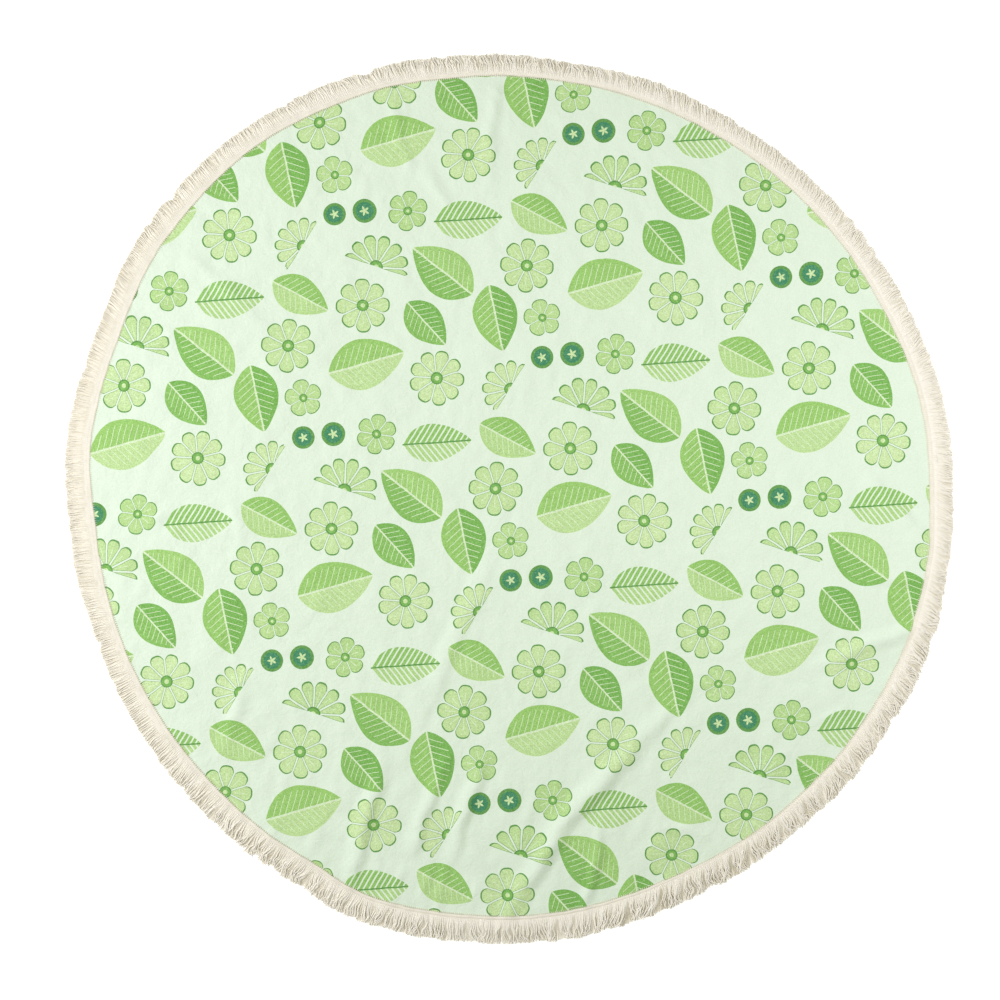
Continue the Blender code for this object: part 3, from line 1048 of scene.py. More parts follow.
TAPE_PROFILE = (
    ProfileRow(0.0, 0.2, 0.15),
    ProfileRow(0.5, 0.75, 0.45),
    ProfileRow(1.5, 1.35, 0.7),
    ProfileRow(2.9, 1.7, 0.8),
    ProfileRow(4.3, 1.5, 0.85),
    ProfileRow(5.2, 0.9, 0.9),
    ProfileRow(5.9, 0.65, 0.9),
    ProfileRow(6.8, 1.15, 1.0),
    ProfileRow(9.5, 1.4, 1.1),
    ProfileRow(12.5, 1.2, 1.1),
    ProfileRow(14.7, 0.85, 0.8),
    ProfileRow(15.0, 0.5, 0.5),
    ProfileRow(14.6, 0.12, 0.12),
    ProfileRow(7.5, 0.1, 0.1),
    ProfileRow(0.4, 0.1, 0.1),
)


@dataclass(frozen=True)
class WovenCottonTape:
    """Unbleached cotton tape in a close weave: matt, cream, with fine ribs across it whose low
    parts are drawn darker, as painted shade in the grooves, and with slubs.
    """

    cream: str = "#F8F3E6"
    shade: str = "#E6DECC"
    # Its ribs are about 1 mm apart, too fine to show from above, so they are drawn at 4 mm.
    rib_spacing: float = 4.0 * MM
    rib_depth: float = 0.35 * MM
    rib_slant: float = 0.2
    rib_tone: float = 0.35
    most_shade: float = 0.6
    slub_size: float = 6 * MM

    def material(self) -> bpy.types.Material:
        """Makes the tape's material.

        Returns:
            The material.
        """
        material, tree, skin = finish_material(
            "cotton_tape_woven_unbleached",
            self.cream,
            {"Roughness": 0.92, "Specular IOR Level": 0.15, "Sheen Weight": 0.05},
        )
        spot = add(tree, "ShaderNodeTexCoord").outputs["Object"]
        weave = add(tree, PARTS, add(tree, "ShaderNodeUVMap", uv_map="Weave"))
        slubs = {"Vector": spot, "Scale": 1 / self.slub_size, "Detail": 4.0, "Roughness": 0.7}
        slub = add(tree, NOISE, names=slubs).outputs["Fac"]
        up, run = weave.outputs["Y"], weave.outputs["X"]
        slant = add(tree, MATH, up, self.rib_slant, run, operation="MULTIPLY_ADD")
        steps = add(tree, MATH, slant, 1 / self.rib_spacing, slub, operation="MULTIPLY_ADD")
        rib = add(tree, MATH, steps, 0.5, operation="PINGPONG")
        tone_and_shade = add(tree, MATH, rib, self.rib_tone, slub, operation="MULTIPLY_ADD")
        # Painted shade: the lower a place lies in the ribs' relief, the more of the shade colour it
        # gets; the slubs' part is the tape's own uneven tone.
        share = add(tree, RANGE, tone_and_shade, 0.38, 0.8, self.most_shade, 0.0, clamp=True)
        colour = add(tree, MIX, share, self.cream, self.shade, data_type="RGBA")
        join(tree, colour, skin.inputs["Base Color"])
        woven = {"Strength": 0.7, "Distance": self.rib_depth, "Height": tone_and_shade}
        join(tree, add(tree, BUMP, names=woven), skin.inputs["Normal"])
        return material


@dataclass
class HeadingTape:
    """The woven tape that carries the fringe, laid on the hem all round."""

    lay: Lay
    finish: WovenCottonTape
    stations: int = 1260
    bake_rows: int = 12
    # The inner edge wanders by a slow and a quick wave, this many times round the towel.
    edge_wander: float = 0.35 * MM
    slow_times: int = 67
    quick_times: int = 151
    quick_wander: float = 0.6
    # The bead's share is below nought, which is flat, at the sides, and full at the bottom.
    bead_sides: float = -3.75
    bead_turn: float = 5.0

    def build(self) -> bpy.types.Object:
        """Runs the tape's section round the inner edge, on top of the cloth.

        Returns:
            The piece, with a map of its weave and one for baking.
        """
        count, points_round = self.stations, len(TAPE_PROFILE)
        angle = np.arange(count) / count * FULL_TURN
        quick = self.quick_wander * np.sin(self.quick_times * angle + 1)
        wander = self.edge_wander * (np.sin(self.slow_times * angle) + quick)
        beaded = np.clip(self.bead_sides - self.bead_turn * np.sin(angle), 0.0, 1.0)
        rows = []
        for row in TAPE_PROFILE:
            share = row.across_mm * MM / self.lay.heading_width
            inset = -row.across_mm * MM + wander * (1 - share)
            plan = self.lay.ring(angle, Line.INNER, inset)
            height = (row.flat_mm + (row.height_mm - row.flat_mm) * beaded) * MM
            rows.append(np.column_stack([plan, self.lay.top(*plan.T) + height]))
        points = np.stack(rows, 1).reshape(-1, 3)
        i, j = (
            part.ravel()
            for part in np.meshgrid(np.arange(count), np.arange(points_round), indexing="ij")
        )
        ahead, beside = (i + 1) % count, (j + 1) % points_round
        faces = np.column_stack(
            [
                i * points_round + j,
                i * points_round + beside,
                ahead * points_round + beside,
                ahead * points_round + j,
            ]
        )
        piece = solid_mesh("heading_tape", points, [faces])
        arc = FULL_TURN * self.lay.edge_radius / count
        across = np.array([row.across_mm for row in TAPE_PROFILE]) * MM
        u = np.column_stack([i, i, i + 1, i + 1]) * arc
        v = np.column_stack([across[j], across[beside], across[beside], across[j]])
        give_uv(piece, "Weave", np.column_stack([u.ravel(), v.ravel()]))
        per_row = count // self.bake_rows
        row = i // per_row
        along = np.column_stack([i, i, i + 1, i + 1]) - (row * per_row)[:, None]
        girth = np.column_stack([j, j + 1, j + 1, j]) / points_round
        # The map for baking cuts the tape into equal rows, with a small margin round each.
        bake_u = along / per_row * 0.98 + 0.01
        bake_v = (row[:, None] + girth * 0.92 + 0.04) / self.bake_rows
        give_uv(piece, "OFBake", np.column_stack([bake_u.ravel(), bake_v.ravel()]))
        return piece

    def dress(self) -> bpy.types.Object:
        """Builds the tape and gives it its finish.

        Returns:
            The piece.
        """
        piece = self.build()
        piece.data.materials.append(self.finish.material())
        place_piece(piece, "heading", "fringe_heading")
        return piece


class Recipe:
    """A Geometry Nodes tree with named inputs, run once on a guide to make a plain mesh."""

    def __init__(self, name: str, inputs: dict[str, tuple[str, object]]) -> None:
        """Starts the tree.

        Args:
            name: the tree's name.
            inputs: for each named input its socket type and its value.
        """
        self.inputs = inputs
        self.tree = bpy.data.node_groups.new(name, "GeometryNodeTree")
        sockets = self.tree.interface
        sockets.new_socket("Guide", in_out="INPUT", socket_type="NodeSocketGeometry")
        for key, (kind, _) in inputs.items():
            sockets.new_socket(key, in_out="INPUT", socket_type=kind)
        sockets.new_socket("Pieces", in_out="OUTPUT", socket_type="NodeSocketGeometry")
        self.given = self.tree.nodes.new("NodeGroupInput").outputs

    def finish(self, geometry: bpy.types.Node) -> None:
        """Ends the tree in Realize Instances and Set Material.

        Args:
            geometry: the node whose geometry is the piece.
        """
        real = add(self.tree, "GeometryNodeRealizeInstances", geometry)
        chosen = {"Geometry": real, "Material": self.given["Material"]}
        dressed = add(self.tree, "GeometryNodeSetMaterial", names=chosen)
        end = self.tree.nodes.new("NodeGroupOutput")
        join(self.tree, dressed, end.inputs["Pieces"])

    def run(self, guide: bpy.types.Object) -> bpy.types.Object:
        """Runs the tree once on a guide.

        Args:
            guide: the object that the tree reads.

        Returns:
            The same object, which now holds the plain mesh that the tree made.
        """
        modifier = guide.modifiers.new("recipe", "NODES")
        modifier.node_group = self.tree
        for item in self.tree.interface.items_tree:
            if item.name in self.inputs and item.in_out == "INPUT":
                modifier[item.identifier] = self.inputs[item.name][1]
        made = guide.evaluated_get(bpy.context.evaluated_depsgraph_get())
        mesh = bpy.data.meshes.new_from_object(made)
        guide.modifiers.remove(modifier)
        guide.data = mesh
        mesh.name = guide.name
        return guide


def guide_ring(name: str, points: np.ndarray, facts: dict[str, np.ndarray]) -> bpy.types.Object:
    """Makes a closed line of points that carry facts for a recipe.

    Args:
        name: the object's name.
        points: one row of x, y, z for each point, in order round the towel.
        facts: for each attribute one value, or one row of three, for each point.

    Returns:
        The guide object.
    """
    count = len(points)
    mesh = bpy.data.meshes.new(name)
    edges = [(step, (step + 1) % count) for step in range(count)]
    mesh.from_pydata(points.tolist(), edges, [])
    for key, values in facts.items():
        vector = values.ndim == 2
        told = mesh.attributes.new(key, "FLOAT_VECTOR" if vector else "FLOAT", "POINT")
        told.data.foreach_set("vector" if vector else "value", values.astype(np.float32).ravel())
    guide = bpy.data.objects.new(name, mesh)
    bpy.context.scene.collection.objects.link(guide)
    return guide


@dataclass(frozen=True)
class PolyesterThread:
    """Spun polyester sewing thread, a little smoother and yellower than the cotton tape."""

    light: str = "#F6F0E2"
    dark: str = "#E4D9C4"
    fuzz_size: float = 0.6 * MM

    def material(self) -> bpy.types.Material:
        """Makes the thread's material.

        Returns:
            The material.
        """
        material, tree, skin = finish_material(
            "polyester_thread_spun", self.light, {"Roughness": 0.6, "Specular IOR Level": 0.4}
        )
        spot = add(tree, "ShaderNodeTexCoord").outputs["Object"]
        spun = {"Vector": spot, "Scale": 1 / self.fuzz_size, "Detail": 1.0}
        fuzz = add(tree, NOISE, names=spun)
        colour = add(tree, MIX, fuzz.outputs["Fac"], self.light, self.dark, data_type="RGBA")
        join(tree, colour, skin.inputs["Base Color"])
        return material


@dataclass
class StitchRow:
    """One row of stitches along the tape, or across its edge.

    Across is how far out from the tape's inner edge the row runs, and lift how far above the
    cloth. A stitch starts higher than its row by climb, and ends lower by as much.
    """

    lay: Lay
    finish: bpy.types.Material
    name: str
    across: float
    lift: float
    crosswise: bool = False
    climb: float = 0.0
    pitch: float = 3.4 * MM
    length: float = 2.7 * MM
    thread: float = 0.55 * MM
    stations: int = 1260

    def recipe(self) -> Recipe:
        """Writes the tree: a small arched stitch at even steps along the guide.

        Returns:
            The recipe, ready to run.
        """
        around = FULL_TURN * self.lay.edge_radius
        recipe = Recipe(
            self.name,
            {
                "Stitches": ("NodeSocketInt", round(around / self.pitch)),
                "Stitch length": ("NodeSocketFloat", self.length),
                "Climb": ("NodeSocketFloat", self.climb),
                "Thread width": ("NodeSocketFloat", self.thread),
                "Material": ("NodeSocketMaterial", self.finish),
            },
        )
        tree, given = recipe.tree, recipe.given
        way = "Y" if self.crosswise else "X"
        half = add(tree, MATH, given["Stitch length"], 0.5, operation="MULTIPLY")
        back = add(tree, MATH, half, -1.0, operation="MULTIPLY")
        thick = add(tree, MATH, given["Thread width"], 0.5, operation="MULTIPLY")
        sunk = add(tree, MATH, thick, -1.0, operation="MULTIPLY")
        raised = add(tree, MATH, sunk, given["Climb"], operation="ADD")
        lowered = add(tree, MATH, sunk, given["Climb"], operation="SUBTRACT")
        ends = {
            "Start": add(tree, "ShaderNodeCombineXYZ", names={way: back, "Z": raised}),
            "Middle": add(tree, "ShaderNodeCombineXYZ", names={"Z": given["Thread width"]}),
            "End": add(tree, "ShaderNodeCombineXYZ", names={way: half, "Z": lowered}),
            "Resolution": 4,
        }
        arc = add(tree, "GeometryNodeCurveQuadraticBezier", names=ends)
        round_one = {"Resolution": 5, "Radius": thick}
        section = add(tree, "GeometryNodeCurvePrimitiveCircle", names=round_one)
        tube = {"Curve": arc, "Profile Curve": section, "Fill Caps": True}
        stitch = add(tree, "GeometryNodeCurveToMesh", names=tube)
        line = add(tree, "GeometryNodeMeshToCurve", given["Guide"])
        steps = {"Curve": line, "Count": given["Stitches"]}
        even = add(tree, "GeometryNodeResampleCurve", names=steps)
        tangent = add(tree, "GeometryNodeInputTangent")
        turned = add(
            tree,
            "FunctionNodeAxesToRotation",
            tangent,
            (0, 0, 1),
            primary_axis="X",
            secondary_axis="Z",
        )
        laid = {"Points": even, "Instance": stitch, "Rotation": turned}
        recipe.finish(add(tree, "GeometryNodeInstanceOnPoints", names=laid))
        return recipe

    def dress(self) -> bpy.types.Object:
        """Builds the row of stitches on the tape and gives it its finish.

        Returns:
            The piece.
        """
        angle = np.arange(self.stations) / self.stations * FULL_TURN
        plan = self.lay.ring(angle, Line.INNER, -self.across)
        points = np.column_stack([plan, self.lay.top(*plan.T) + self.lift])
        piece = self.recipe().run(guide_ring(self.name, points, {}))
        piece.data.shade_smooth()
        place_piece(piece, "heading")
        return piece


class NotchRow(NamedTuple):
    """A place where the fringe is thinner and shorter."""

    angle_deg: float
    depth_mm: float
    width_mm: float


class StrandRow(NamedTuple):
    """How the strands lie at an angle: their sideways lean for each unit that they reach, how
    far bundles rise, how far roots lie on the tape, how much longer they are, and their painted
    shading: how much darker they are drawn, as painted shade where the left soft box lights them
    most, or below nought how much lighter, as painted light where they lie in more shade."""

    angle_deg: float
    lean: float
    ruffle_mm: float
    overlap_mm: float
    longer_mm: float
    painted_shading: float


NOTCHES = (
    NotchRow(32.9, 4, 6),
    NotchRow(34.8, 3, 5),
    NotchRow(37.4, 4, 5),
    NotchRow(57.5, 3, 6),
    NotchRow(81.0, 3, 6),
    NotchRow(93.6, 4, 22),
    NotchRow(98.2, 4, 7),
    NotchRow(100.6, 3, 6),
    NotchRow(108.0, 8, 14),
    NotchRow(119.4, 4, 7),
    NotchRow(138.4, 7, 9),
    NotchRow(142.8, 5, 7),
    NotchRow(163.0, 2, 6),
    NotchRow(199.6, 4, 5),
    NotchRow(221.2, 5, 6),
    NotchRow(227.8, 4, 7),
    NotchRow(234.8, 6, 8),
    NotchRow(237.2, 5, 6),
    NotchRow(260.5, 2, 6),
    NotchRow(283.5, 4, 6),
    NotchRow(292.0, 3, 14),
    NotchRow(299.0, 5, 7),
    NotchRow(331.2, 4, 8),
    NotchRow(342.6, 4, 14),
    NotchRow(358.8, 3, 6),
)

# Painted shading by angle, the last column: above nought the strands are drawn darker, as painted
# shade where the left soft box lights them most; below nought lighter, as painted light where they
# lie in more shade.
STRANDS = (
    StrandRow(0, -0.45, 1.2, 7.0, 3.0, -0.16),
    StrandRow(20, 0.25, 1.1, 7.0, 0.5, -0.2),
    StrandRow(32, 0.10, 1.3, 8.0, 2.5, -0.2),
    StrandRow(49, 0.45, 1.4, 8.5, 2.0, -0.2),
    StrandRow(69, 0.40, 1.6, 9.0, 5.0, -0.25),
    StrandRow(85, 0.08, 2.5, 9.5, 0.5, -0.15),
    StrandRow(95, 0.15, 2.3, 9.5, 0.0, -0.15),
    StrandRow(110, 0.30, 1.3, 8.5, 0.0, -0.1),
    StrandRow(132, -0.10, 1.0, 7.0, 3.0, 0.02),
    StrandRow(155, -0.35, 0.7, 6.5, 1.0, 0.15),
    StrandRow(171, 0.15, 0.5, 6.5, 2.5, 0.2),
    StrandRow(192, -0.10, 0.5, 7.5, 5.5, 0.14),
    StrandRow(204, 0.0, 0.5, 8.5, 8.5, 0.07),
    StrandRow(214, 0.12, 0.5, 9.0, 2.5, 0.03),
    StrandRow(233, 0.0, 2.3, 10.0, 2.5, -0.1),
    StrandRow(252, 0.05, 2.4, 8.5, 2.0, -0.15),
    StrandRow(270, 0.0, 2.4, 8.5, 2.0, -0.3),
    StrandRow(280, -0.17, 2.4, 8.5, 3.0, -0.3),
    StrandRow(292, -0.45, 3.5, 10.0, 1.5, -0.15),
    StrandRow(315, -0.25, 3.0, 11.0, 3.5, -0.2),
    StrandRow(340, -0.30, 2.3, 9.0, 0.5, -0.22),
)


@dataclass(frozen=True)
class CottonYarn:
    """Soft two-ply cotton yarn, unbleached: matt and cream, each strand a little different, and
    carrying painted shade and painted light from its layer and its angle.
    """

    light: str = "#FCF7EB"
    # The dark end serves both the strands' own tone and the painted shade that they carry.
    dark: str = "#D8CFB4"
    # The ply's twist is about 1 mm long, too fine to show from above, so it is drawn at 2 mm.
    twist: float = 2.0 * MM
    twist_depth: float = 0.2 * MM
    fuzz: float = 0.2

    def material(self) -> bpy.types.Material:
        """Makes the yarn's material, with the tone, painted shade and painted light that each
        strand carries.

        Returns:
            The material.
        """
        material, tree, skin = finish_material(
            "cotton_yarn_unbleached",
            self.light,
            {"Roughness": 0.95, "Specular IOR Level": 0.1, "Sheen Weight": 0.05},
        )
        spot = add(tree, "ShaderNodeTexCoord").outputs["Object"]
        plies = {"Vector": spot, "Scale": 1 / self.twist, "Detail": 2.0}
        fuzz = add(tree, NOISE, names=plies).outputs["Fac"]
        told = add(tree, "ShaderNodeAttribute", attribute_name="tone_and_shade").outputs["Fac"]
        uneven = add(tree, RANGE, fuzz, 0.25, 0.75, -self.fuzz / 2, self.fuzz / 2)
        share = add(tree, MATH, told, uneven, operation="ADD", use_clamp=True)
        colour = add(tree, MIX, share, self.light, self.dark, data_type="RGBA")
        join(tree, colour, skin.inputs["Base Color"])
        soft = {"Strength": 0.4, "Distance": self.twist_depth, "Height": fuzz}
        join(tree, add(tree, BUMP, names=soft), skin.inputs["Normal"])
        return material


@dataclass
class FringeLayer:
    """One layer of cut strands, in uneven bundles, from the tape's outer part.

    Bundles are the same in every layer. The strands' tone runs from light, 0, to dark, 1. It is
    partly their own, at random, and partly painted shade: a layer under others is drawn darker, for
    their shadow on it, and the painted shading by angle moves every layer. All but that painted
    shading evens out where they lie close together, near the tape and where nothing has ruffled
    them.
    """

    lay: Lay
    finish: bpy.types.Material
    name: str
    seed: int
    strands: int
    points: int
    yarn: float
    rest_height: float
    reach_share: float
    looseness: float
    # How much darker the whole layer is drawn: above nought painted shade, for a layer in the
    # shadow of those above it; below nought lighter.
    tone_and_shade: float
    # The ring of roots, and how many of its steps the way out is evened over to each side.
    stations: int = 2400
    evened_steps: int = 6
    root_lift: float = 0.3 * MM
    root_rise: float = 0.25
    # Bundles are of one width, moved to and fro by up to so many widths.
    bundles: int = 330
    bundle_drift: float = 4.0
    drift_size: float = 33 * MM
    # Full ruffling, and the share of the uneven cuts and of the gathering that needs none.
    most_ruffled: float = 2.2 * MM
    freedom_at_rest: float = 0.4
    least_reach: float = 0.94
    most_reach: float = 1.045
    least_gather: float = 0.06
    most_gather: float = 0.6
    bundle_lean: float = 0.2
    strand_lean: float = 0.1
    # Curls: the size of one, how many a strand's length holds, and how much chance adds.
    curl_size: float = 14 * MM
    curl_bends: float = 2.2
    bundle_bend: float = 1.0
    strand_bend: float = 0.5
    curl_sideways: float = 14.0
    curl_upward: float = 1.5
    # The fall from the tape to the rest height, and the crown that a bundle rises in.
    fall_start: float = 0.15
    fall_end: float = 0.8
    crown_height: float = 1.4
    crown_at_root: float = 1.5
    # The strand's width at its root, how fast it swells, and how its tip thins.
    root_width: float = 0.55
    root_swell: float = 5.0
    tip_taper: float = 0.35
    taper_power: float = 3.0
    # Tones, and the share of the strand over which they part at its root.
    bundle_tone: float = 0.25
    strand_tone: float = 0.42
    even_tone: float = 0.13
    parting: float = 0.05
    tone_at_rest: float = 0.33

    def guide(self) -> bpy.types.Object:
        """Makes the ring of roots, with the way out, the reach, the lean and the rise at each.

        Returns:
            The ring.
        """
        count, beyond = self.stations, self.evened_steps
        angle = np.arange(count) / count * FULL_TURN
        places = [row.angle_deg for row in STRANDS]
        lean, ruffle, overlap, longer, painted_shading = (
            np.interp(np.degrees(angle), places, values, period=360)
            for values in list(zip(*STRANDS))[1:]
        )
        plan = self.lay.ring(angle, Line.OUTER, overlap * MM)
        height = self.lay.top(*plan.T) + self.root_lift + self.root_rise * ruffle * MM
        run = np.roll(plan, -beyond, 0) - np.roll(plan, beyond, 0)
        run /= np.linalg.norm(run, axis=1)[:, None]
        out = np.column_stack([run[:, 1], -run[:, 0], np.zeros(count)])
        reach = self.lay.radius(angle, Line.TIPS) - self.lay.radius(angle, Line.OUTER)
        reach = reach + (overlap + longer) * MM
        for notch in NOTCHES:
            apart = (angle - math.radians(notch.angle_deg) + math.pi) % FULL_TURN - math.pi
            spread = apart * self.lay.tip_radius / (notch.width_mm * MM)
            reach = reach - notch.depth_mm * MM * np.exp(-(spread**2))
        facts = {
            "out": out,
            "reach": reach,
            "lean": lean,
            "ruffle": ruffle * MM,
            # The angle's painted shading: painted shade above nought, painted light below.
            "painted_shading": painted_shading,
        }
        return guide_ring(self.name, np.column_stack([plan, height]), facts)

    def recipe(self) -> Recipe:
        """Writes the tree: a wavy strand at each root, drawn towards its bundle's middle.

        Returns:
            The recipe, ready to run.
        """
        around = FULL_TURN * (self.lay.edge_radius + self.lay.heading_width)
        recipe = Recipe(
            self.name,
            {
                "Strands": ("NodeSocketInt", self.strands),
                "Points in a strand": ("NodeSocketInt", self.points),
                "Bundles": ("NodeSocketFloat", float(self.bundles)),
                "Bundle width": ("NodeSocketFloat", around / self.bundles),
                "Looseness": ("NodeSocketFloat", self.looseness),
                "Yarn width": ("NodeSocketFloat", self.yarn),
                "Rest height": ("NodeSocketFloat", self.rest_height),
                "Reach share": ("NodeSocketFloat", self.reach_share),
                "Tone and shade": ("NodeSocketFloat", self.tone_and_shade),
                "Seed": ("NodeSocketInt", self.seed),
                "Material": ("NodeSocketMaterial", self.finish),
            },
        )
        tree, given = recipe.tree, recipe.given
        store, named, chance = (
            "GeometryNodeStoreNamedAttribute",
            "GeometryNodeInputNamedAttribute",
            "FunctionNodeRandomValue",
        )
        joined = "ShaderNodeCombineXYZ"
        seed = given["Seed"]

        # Roots: even steps along the guide, each told its strand, its bundle and its place in it.
        line = add(tree, "GeometryNodeMeshToCurve", given["Guide"])
        steps = {"Curve": line, "Count": given["Strands"]}
        told = add(tree, "GeometryNodeResampleCurve", names=steps)
        place = add(tree, "GeometryNodeInputPosition")
        number = add(tree, "GeometryNodeInputIndex")
        uneven = {"Vector": place, "Scale": 1 / self.drift_size, "Detail": 1.0}
        drift = add(tree, NOISE, names=uneven).outputs["Fac"]
        share = add(tree, MATH, number, given["Strands"], operation="DIVIDE")
        counted = add(tree, MATH, share, given["Bundles"], operation="MULTIPLY")
        shifted = add(tree, MATH, drift, self.bundle_drift, counted, operation="MULTIPLY_ADD")
        clump = add(tree, MATH, shifted, operation="FLOOR")
        part = add(tree, MATH, shifted, operation="FRACT")
        aside = add(tree, MATH, part, 0.5, operation="SUBTRACT")
        for key, kind, value in (
            ("root", "FLOAT_VECTOR", place),
            ("strand", "INT", number),
            ("bundle", "INT", clump),
            ("aside", "FLOAT", aside),
        ):
            fact = {"Geometry": told, "Name": key, "Value": value}
            told = add(tree, store, names=fact, data_type=kind)

        # One straight strand, told how far along each of its points is.
        straight = add(tree, "GeometryNodeCurvePrimitiveLine", names={"End": (1.0, 0.0, 0.0)})
        steps = {"Curve": straight, "Count": given["Points in a strand"]}
        bending = add(tree, "GeometryNodeResampleCurve", names=steps)
        way = add(tree, "GeometryNodeSplineParameter").outputs["Factor"]
        fact = {"Geometry": bending, "Name": "along", "Value": way}
        strand = add(tree, store, names=fact, data_type="FLOAT")
        planted = {"Points": told, "Instance": strand}
        standing = add(tree, "GeometryNodeInstanceOnPoints", names=planted)
        real = add(tree, "GeometryNodeRealizeInstances", standing)
        root, out = (
            add(tree, named, names={"Name": key}, data_type="FLOAT_VECTOR")
            for key in ("root", "out")
        )
        reach, along, middle, slant, ruffle, painted_shading = (
            add(tree, named, names={"Name": key}, data_type="FLOAT")
            for key in ("reach", "along", "aside", "lean", "ruffle", "painted_shading")
        )
        which, group = (
            add(tree, named, names={"Name": key}, data_type="INT") for key in ("strand", "bundle")
        )

        # Chances: a strand's own, by the layer's seed, or shared by a bundle in every layer, by
        # the numbers 1 to 5.
        def drawn(low: float, high: float, item: bpy.types.Node, base: object) -> bpy.types.Node:
            """Draws a number between low and high for each bundle or strand."""
            return add(tree, chance, names={"Min": low, "Max": high, "ID": item, "Seed": base})

        stirred = add(tree, MATH, ruffle, 1 / self.most_ruffled, operation="MULTIPLY")

        # How far out it reaches.
        held = self.freedom_at_rest
        freedom = add(
            tree, MATH, stirred, 1 - held, held, operation="MULTIPLY_ADD", use_clamp=True
        )
        own_cut = drawn(self.least_reach, self.most_reach, which, seed)
        shared_cut = drawn(self.least_reach, self.most_reach, group, 1)
        both_cuts = add(tree, MATH, own_cut, shared_cut, operation="MULTIPLY")
        off_even = add(tree, MATH, both_cuts, 1.0, operation="SUBTRACT")
        trim = add(tree, MATH, off_even, freedom, 1.0, operation="MULTIPLY_ADD")
        cut = add(tree, MATH, trim, given["Reach share"], operation="MULTIPLY")
        length = add(tree, MATH, cut, reach, operation="MULTIPLY")
        go = add(tree, MATH, length, along, operation="MULTIPLY")

        # How far aside it goes: its lean, its bundle's middle and its waves.
        own_lean = drawn(-self.strand_lean, self.strand_lean, which, seed)
        shared_lean = drawn(-self.bundle_lean, self.bundle_lean, group, 2)
        both = add(tree, MATH, shared_lean, stirred, own_lean, operation="MULTIPLY_ADD")
        loose = add(tree, MATH, both, given["Looseness"], operation="MULTIPLY")
        lean = add(tree, MATH, loose, slant, operation="ADD")
        pull = drawn(self.least_gather, self.most_gather, group, 3)
        freed_pull = add(tree, MATH, pull, freedom, operation="MULTIPLY")
        gathered = add(tree, MATH, freed_pull, given["Looseness"], operation="MULTIPLY")
        off_middle = add(tree, MATH, middle, given["Bundle width"], operation="MULTIPLY")
        inward = add(tree, MATH, off_middle, gathered, operation="MULTIPLY")
        leaned = add(tree, MATH, lean, length, operation="MULTIPLY")
        tipped = add(tree, MATH, leaned, inward, operation="SUBTRACT")
        off_line = add(tree, MATH, tipped, along, operation="MULTIPLY")
        flat_scale = (1 / self.curl_size, 1 / self.curl_size, 0.0)
        at_root = add(tree, VECTOR, root, flat_scale, operation="MULTIPLY")
        own_bend = drawn(0.0, self.strand_bend, which, seed)
        shared_bend = drawn(0.0, self.bundle_bend, group, 4)
        apart = add(tree, MATH, own_bend, shared_bend, operation="ADD")
        moved_on = add(tree, MATH, apart, given["Looseness"], operation="MULTIPLY")
        bends = add(tree, MATH, along, self.curl_bends, moved_on, operation="MULTIPLY_ADD")
        up = add(tree, joined, names={"Z": bends})
        where = add(tree, VECTOR, at_root, up, operation="ADD")
        curl = add(tree, NOISE, names={"Vector": where, "Scale": 1.0, "Detail": 1.0})
        centred = add(tree, VECTOR, curl.outputs["Color"], (0.5, 0.5, 0.5), operation="SUBTRACT")
        curls = add(tree, PARTS, centred)
        freed = add(tree, MATH, ruffle, given["Looseness"], operation="MULTIPLY")
        strength = add(tree, MATH, along, freed, operation="MULTIPLY")
        stronger = add(tree, MATH, strength, self.curl_sideways, operation="MULTIPLY")
        wave = add(tree, MATH, curls.outputs["X"], stronger, operation="MULTIPLY")
        sideways = add(tree, MATH, off_line, wave, operation="ADD")
        beside = add(tree, VECTOR, (0.0, 0.0, 1.0), out, operation="CROSS_PRODUCT")
        moved_out = add(tree, VECTOR, names={"Vector": out, "Scale": go}, operation="SCALE")
        aslant = {"Vector": beside, "Scale": sideways}
        moved_by = add(tree, VECTOR, names=aslant, operation="SCALE")
        step = add(tree, VECTOR, moved_out, moved_by, operation="ADD")
        plan = add(tree, PARTS, add(tree, VECTOR, root, step, operation="ADD"))

        # How high it lies: down from the tape, up again in its bundle's crown.
        slope = (self.fall_start, self.fall_end, 1.0, 0.0)
        fall = add(tree, RANGE, along, *slope, interpolation_type="SMOOTHSTEP")
        above = add(tree, MATH, plan.outputs["Z"], given["Rest height"], operation="SUBTRACT")
        drop = add(tree, MATH, above, fall, given["Rest height"], operation="MULTIPLY_ADD")
        square = add(tree, MATH, middle, middle, operation="MULTIPLY")
        # The crown is 1 in its bundle's middle, and 0 half a bundle away to either side.
        crown = add(tree, MATH, square, -4.0, 1.0, operation="MULTIPLY_ADD")
        bulge = add(tree, MATH, self.crown_at_root, along, operation="SUBTRACT")
        raised = add(tree, MATH, bulge, strength, operation="MULTIPLY")
        domed = add(tree, MATH, raised, self.crown_height, operation="MULTIPLY")
        lifted = add(tree, MATH, domed, crown, drop, operation="MULTIPLY_ADD")
        tossing = add(tree, MATH, strength, self.curl_upward, operation="MULTIPLY")
        tossed = add(tree, MATH, curls.outputs["Y"], tossing, lifted, operation="MULTIPLY_ADD")
        thick = add(tree, MATH, given["Yarn width"], 0.5, operation="MULTIPLY")
        height = add(tree, MATH, tossed, thick, operation="MAXIMUM")
        final = add(tree, joined, plan.outputs["X"], plan.outputs["Y"], height)
        moved = {"Geometry": real, "Position": final}
        bent = add(tree, "GeometryNodeSetPosition", names=moved)
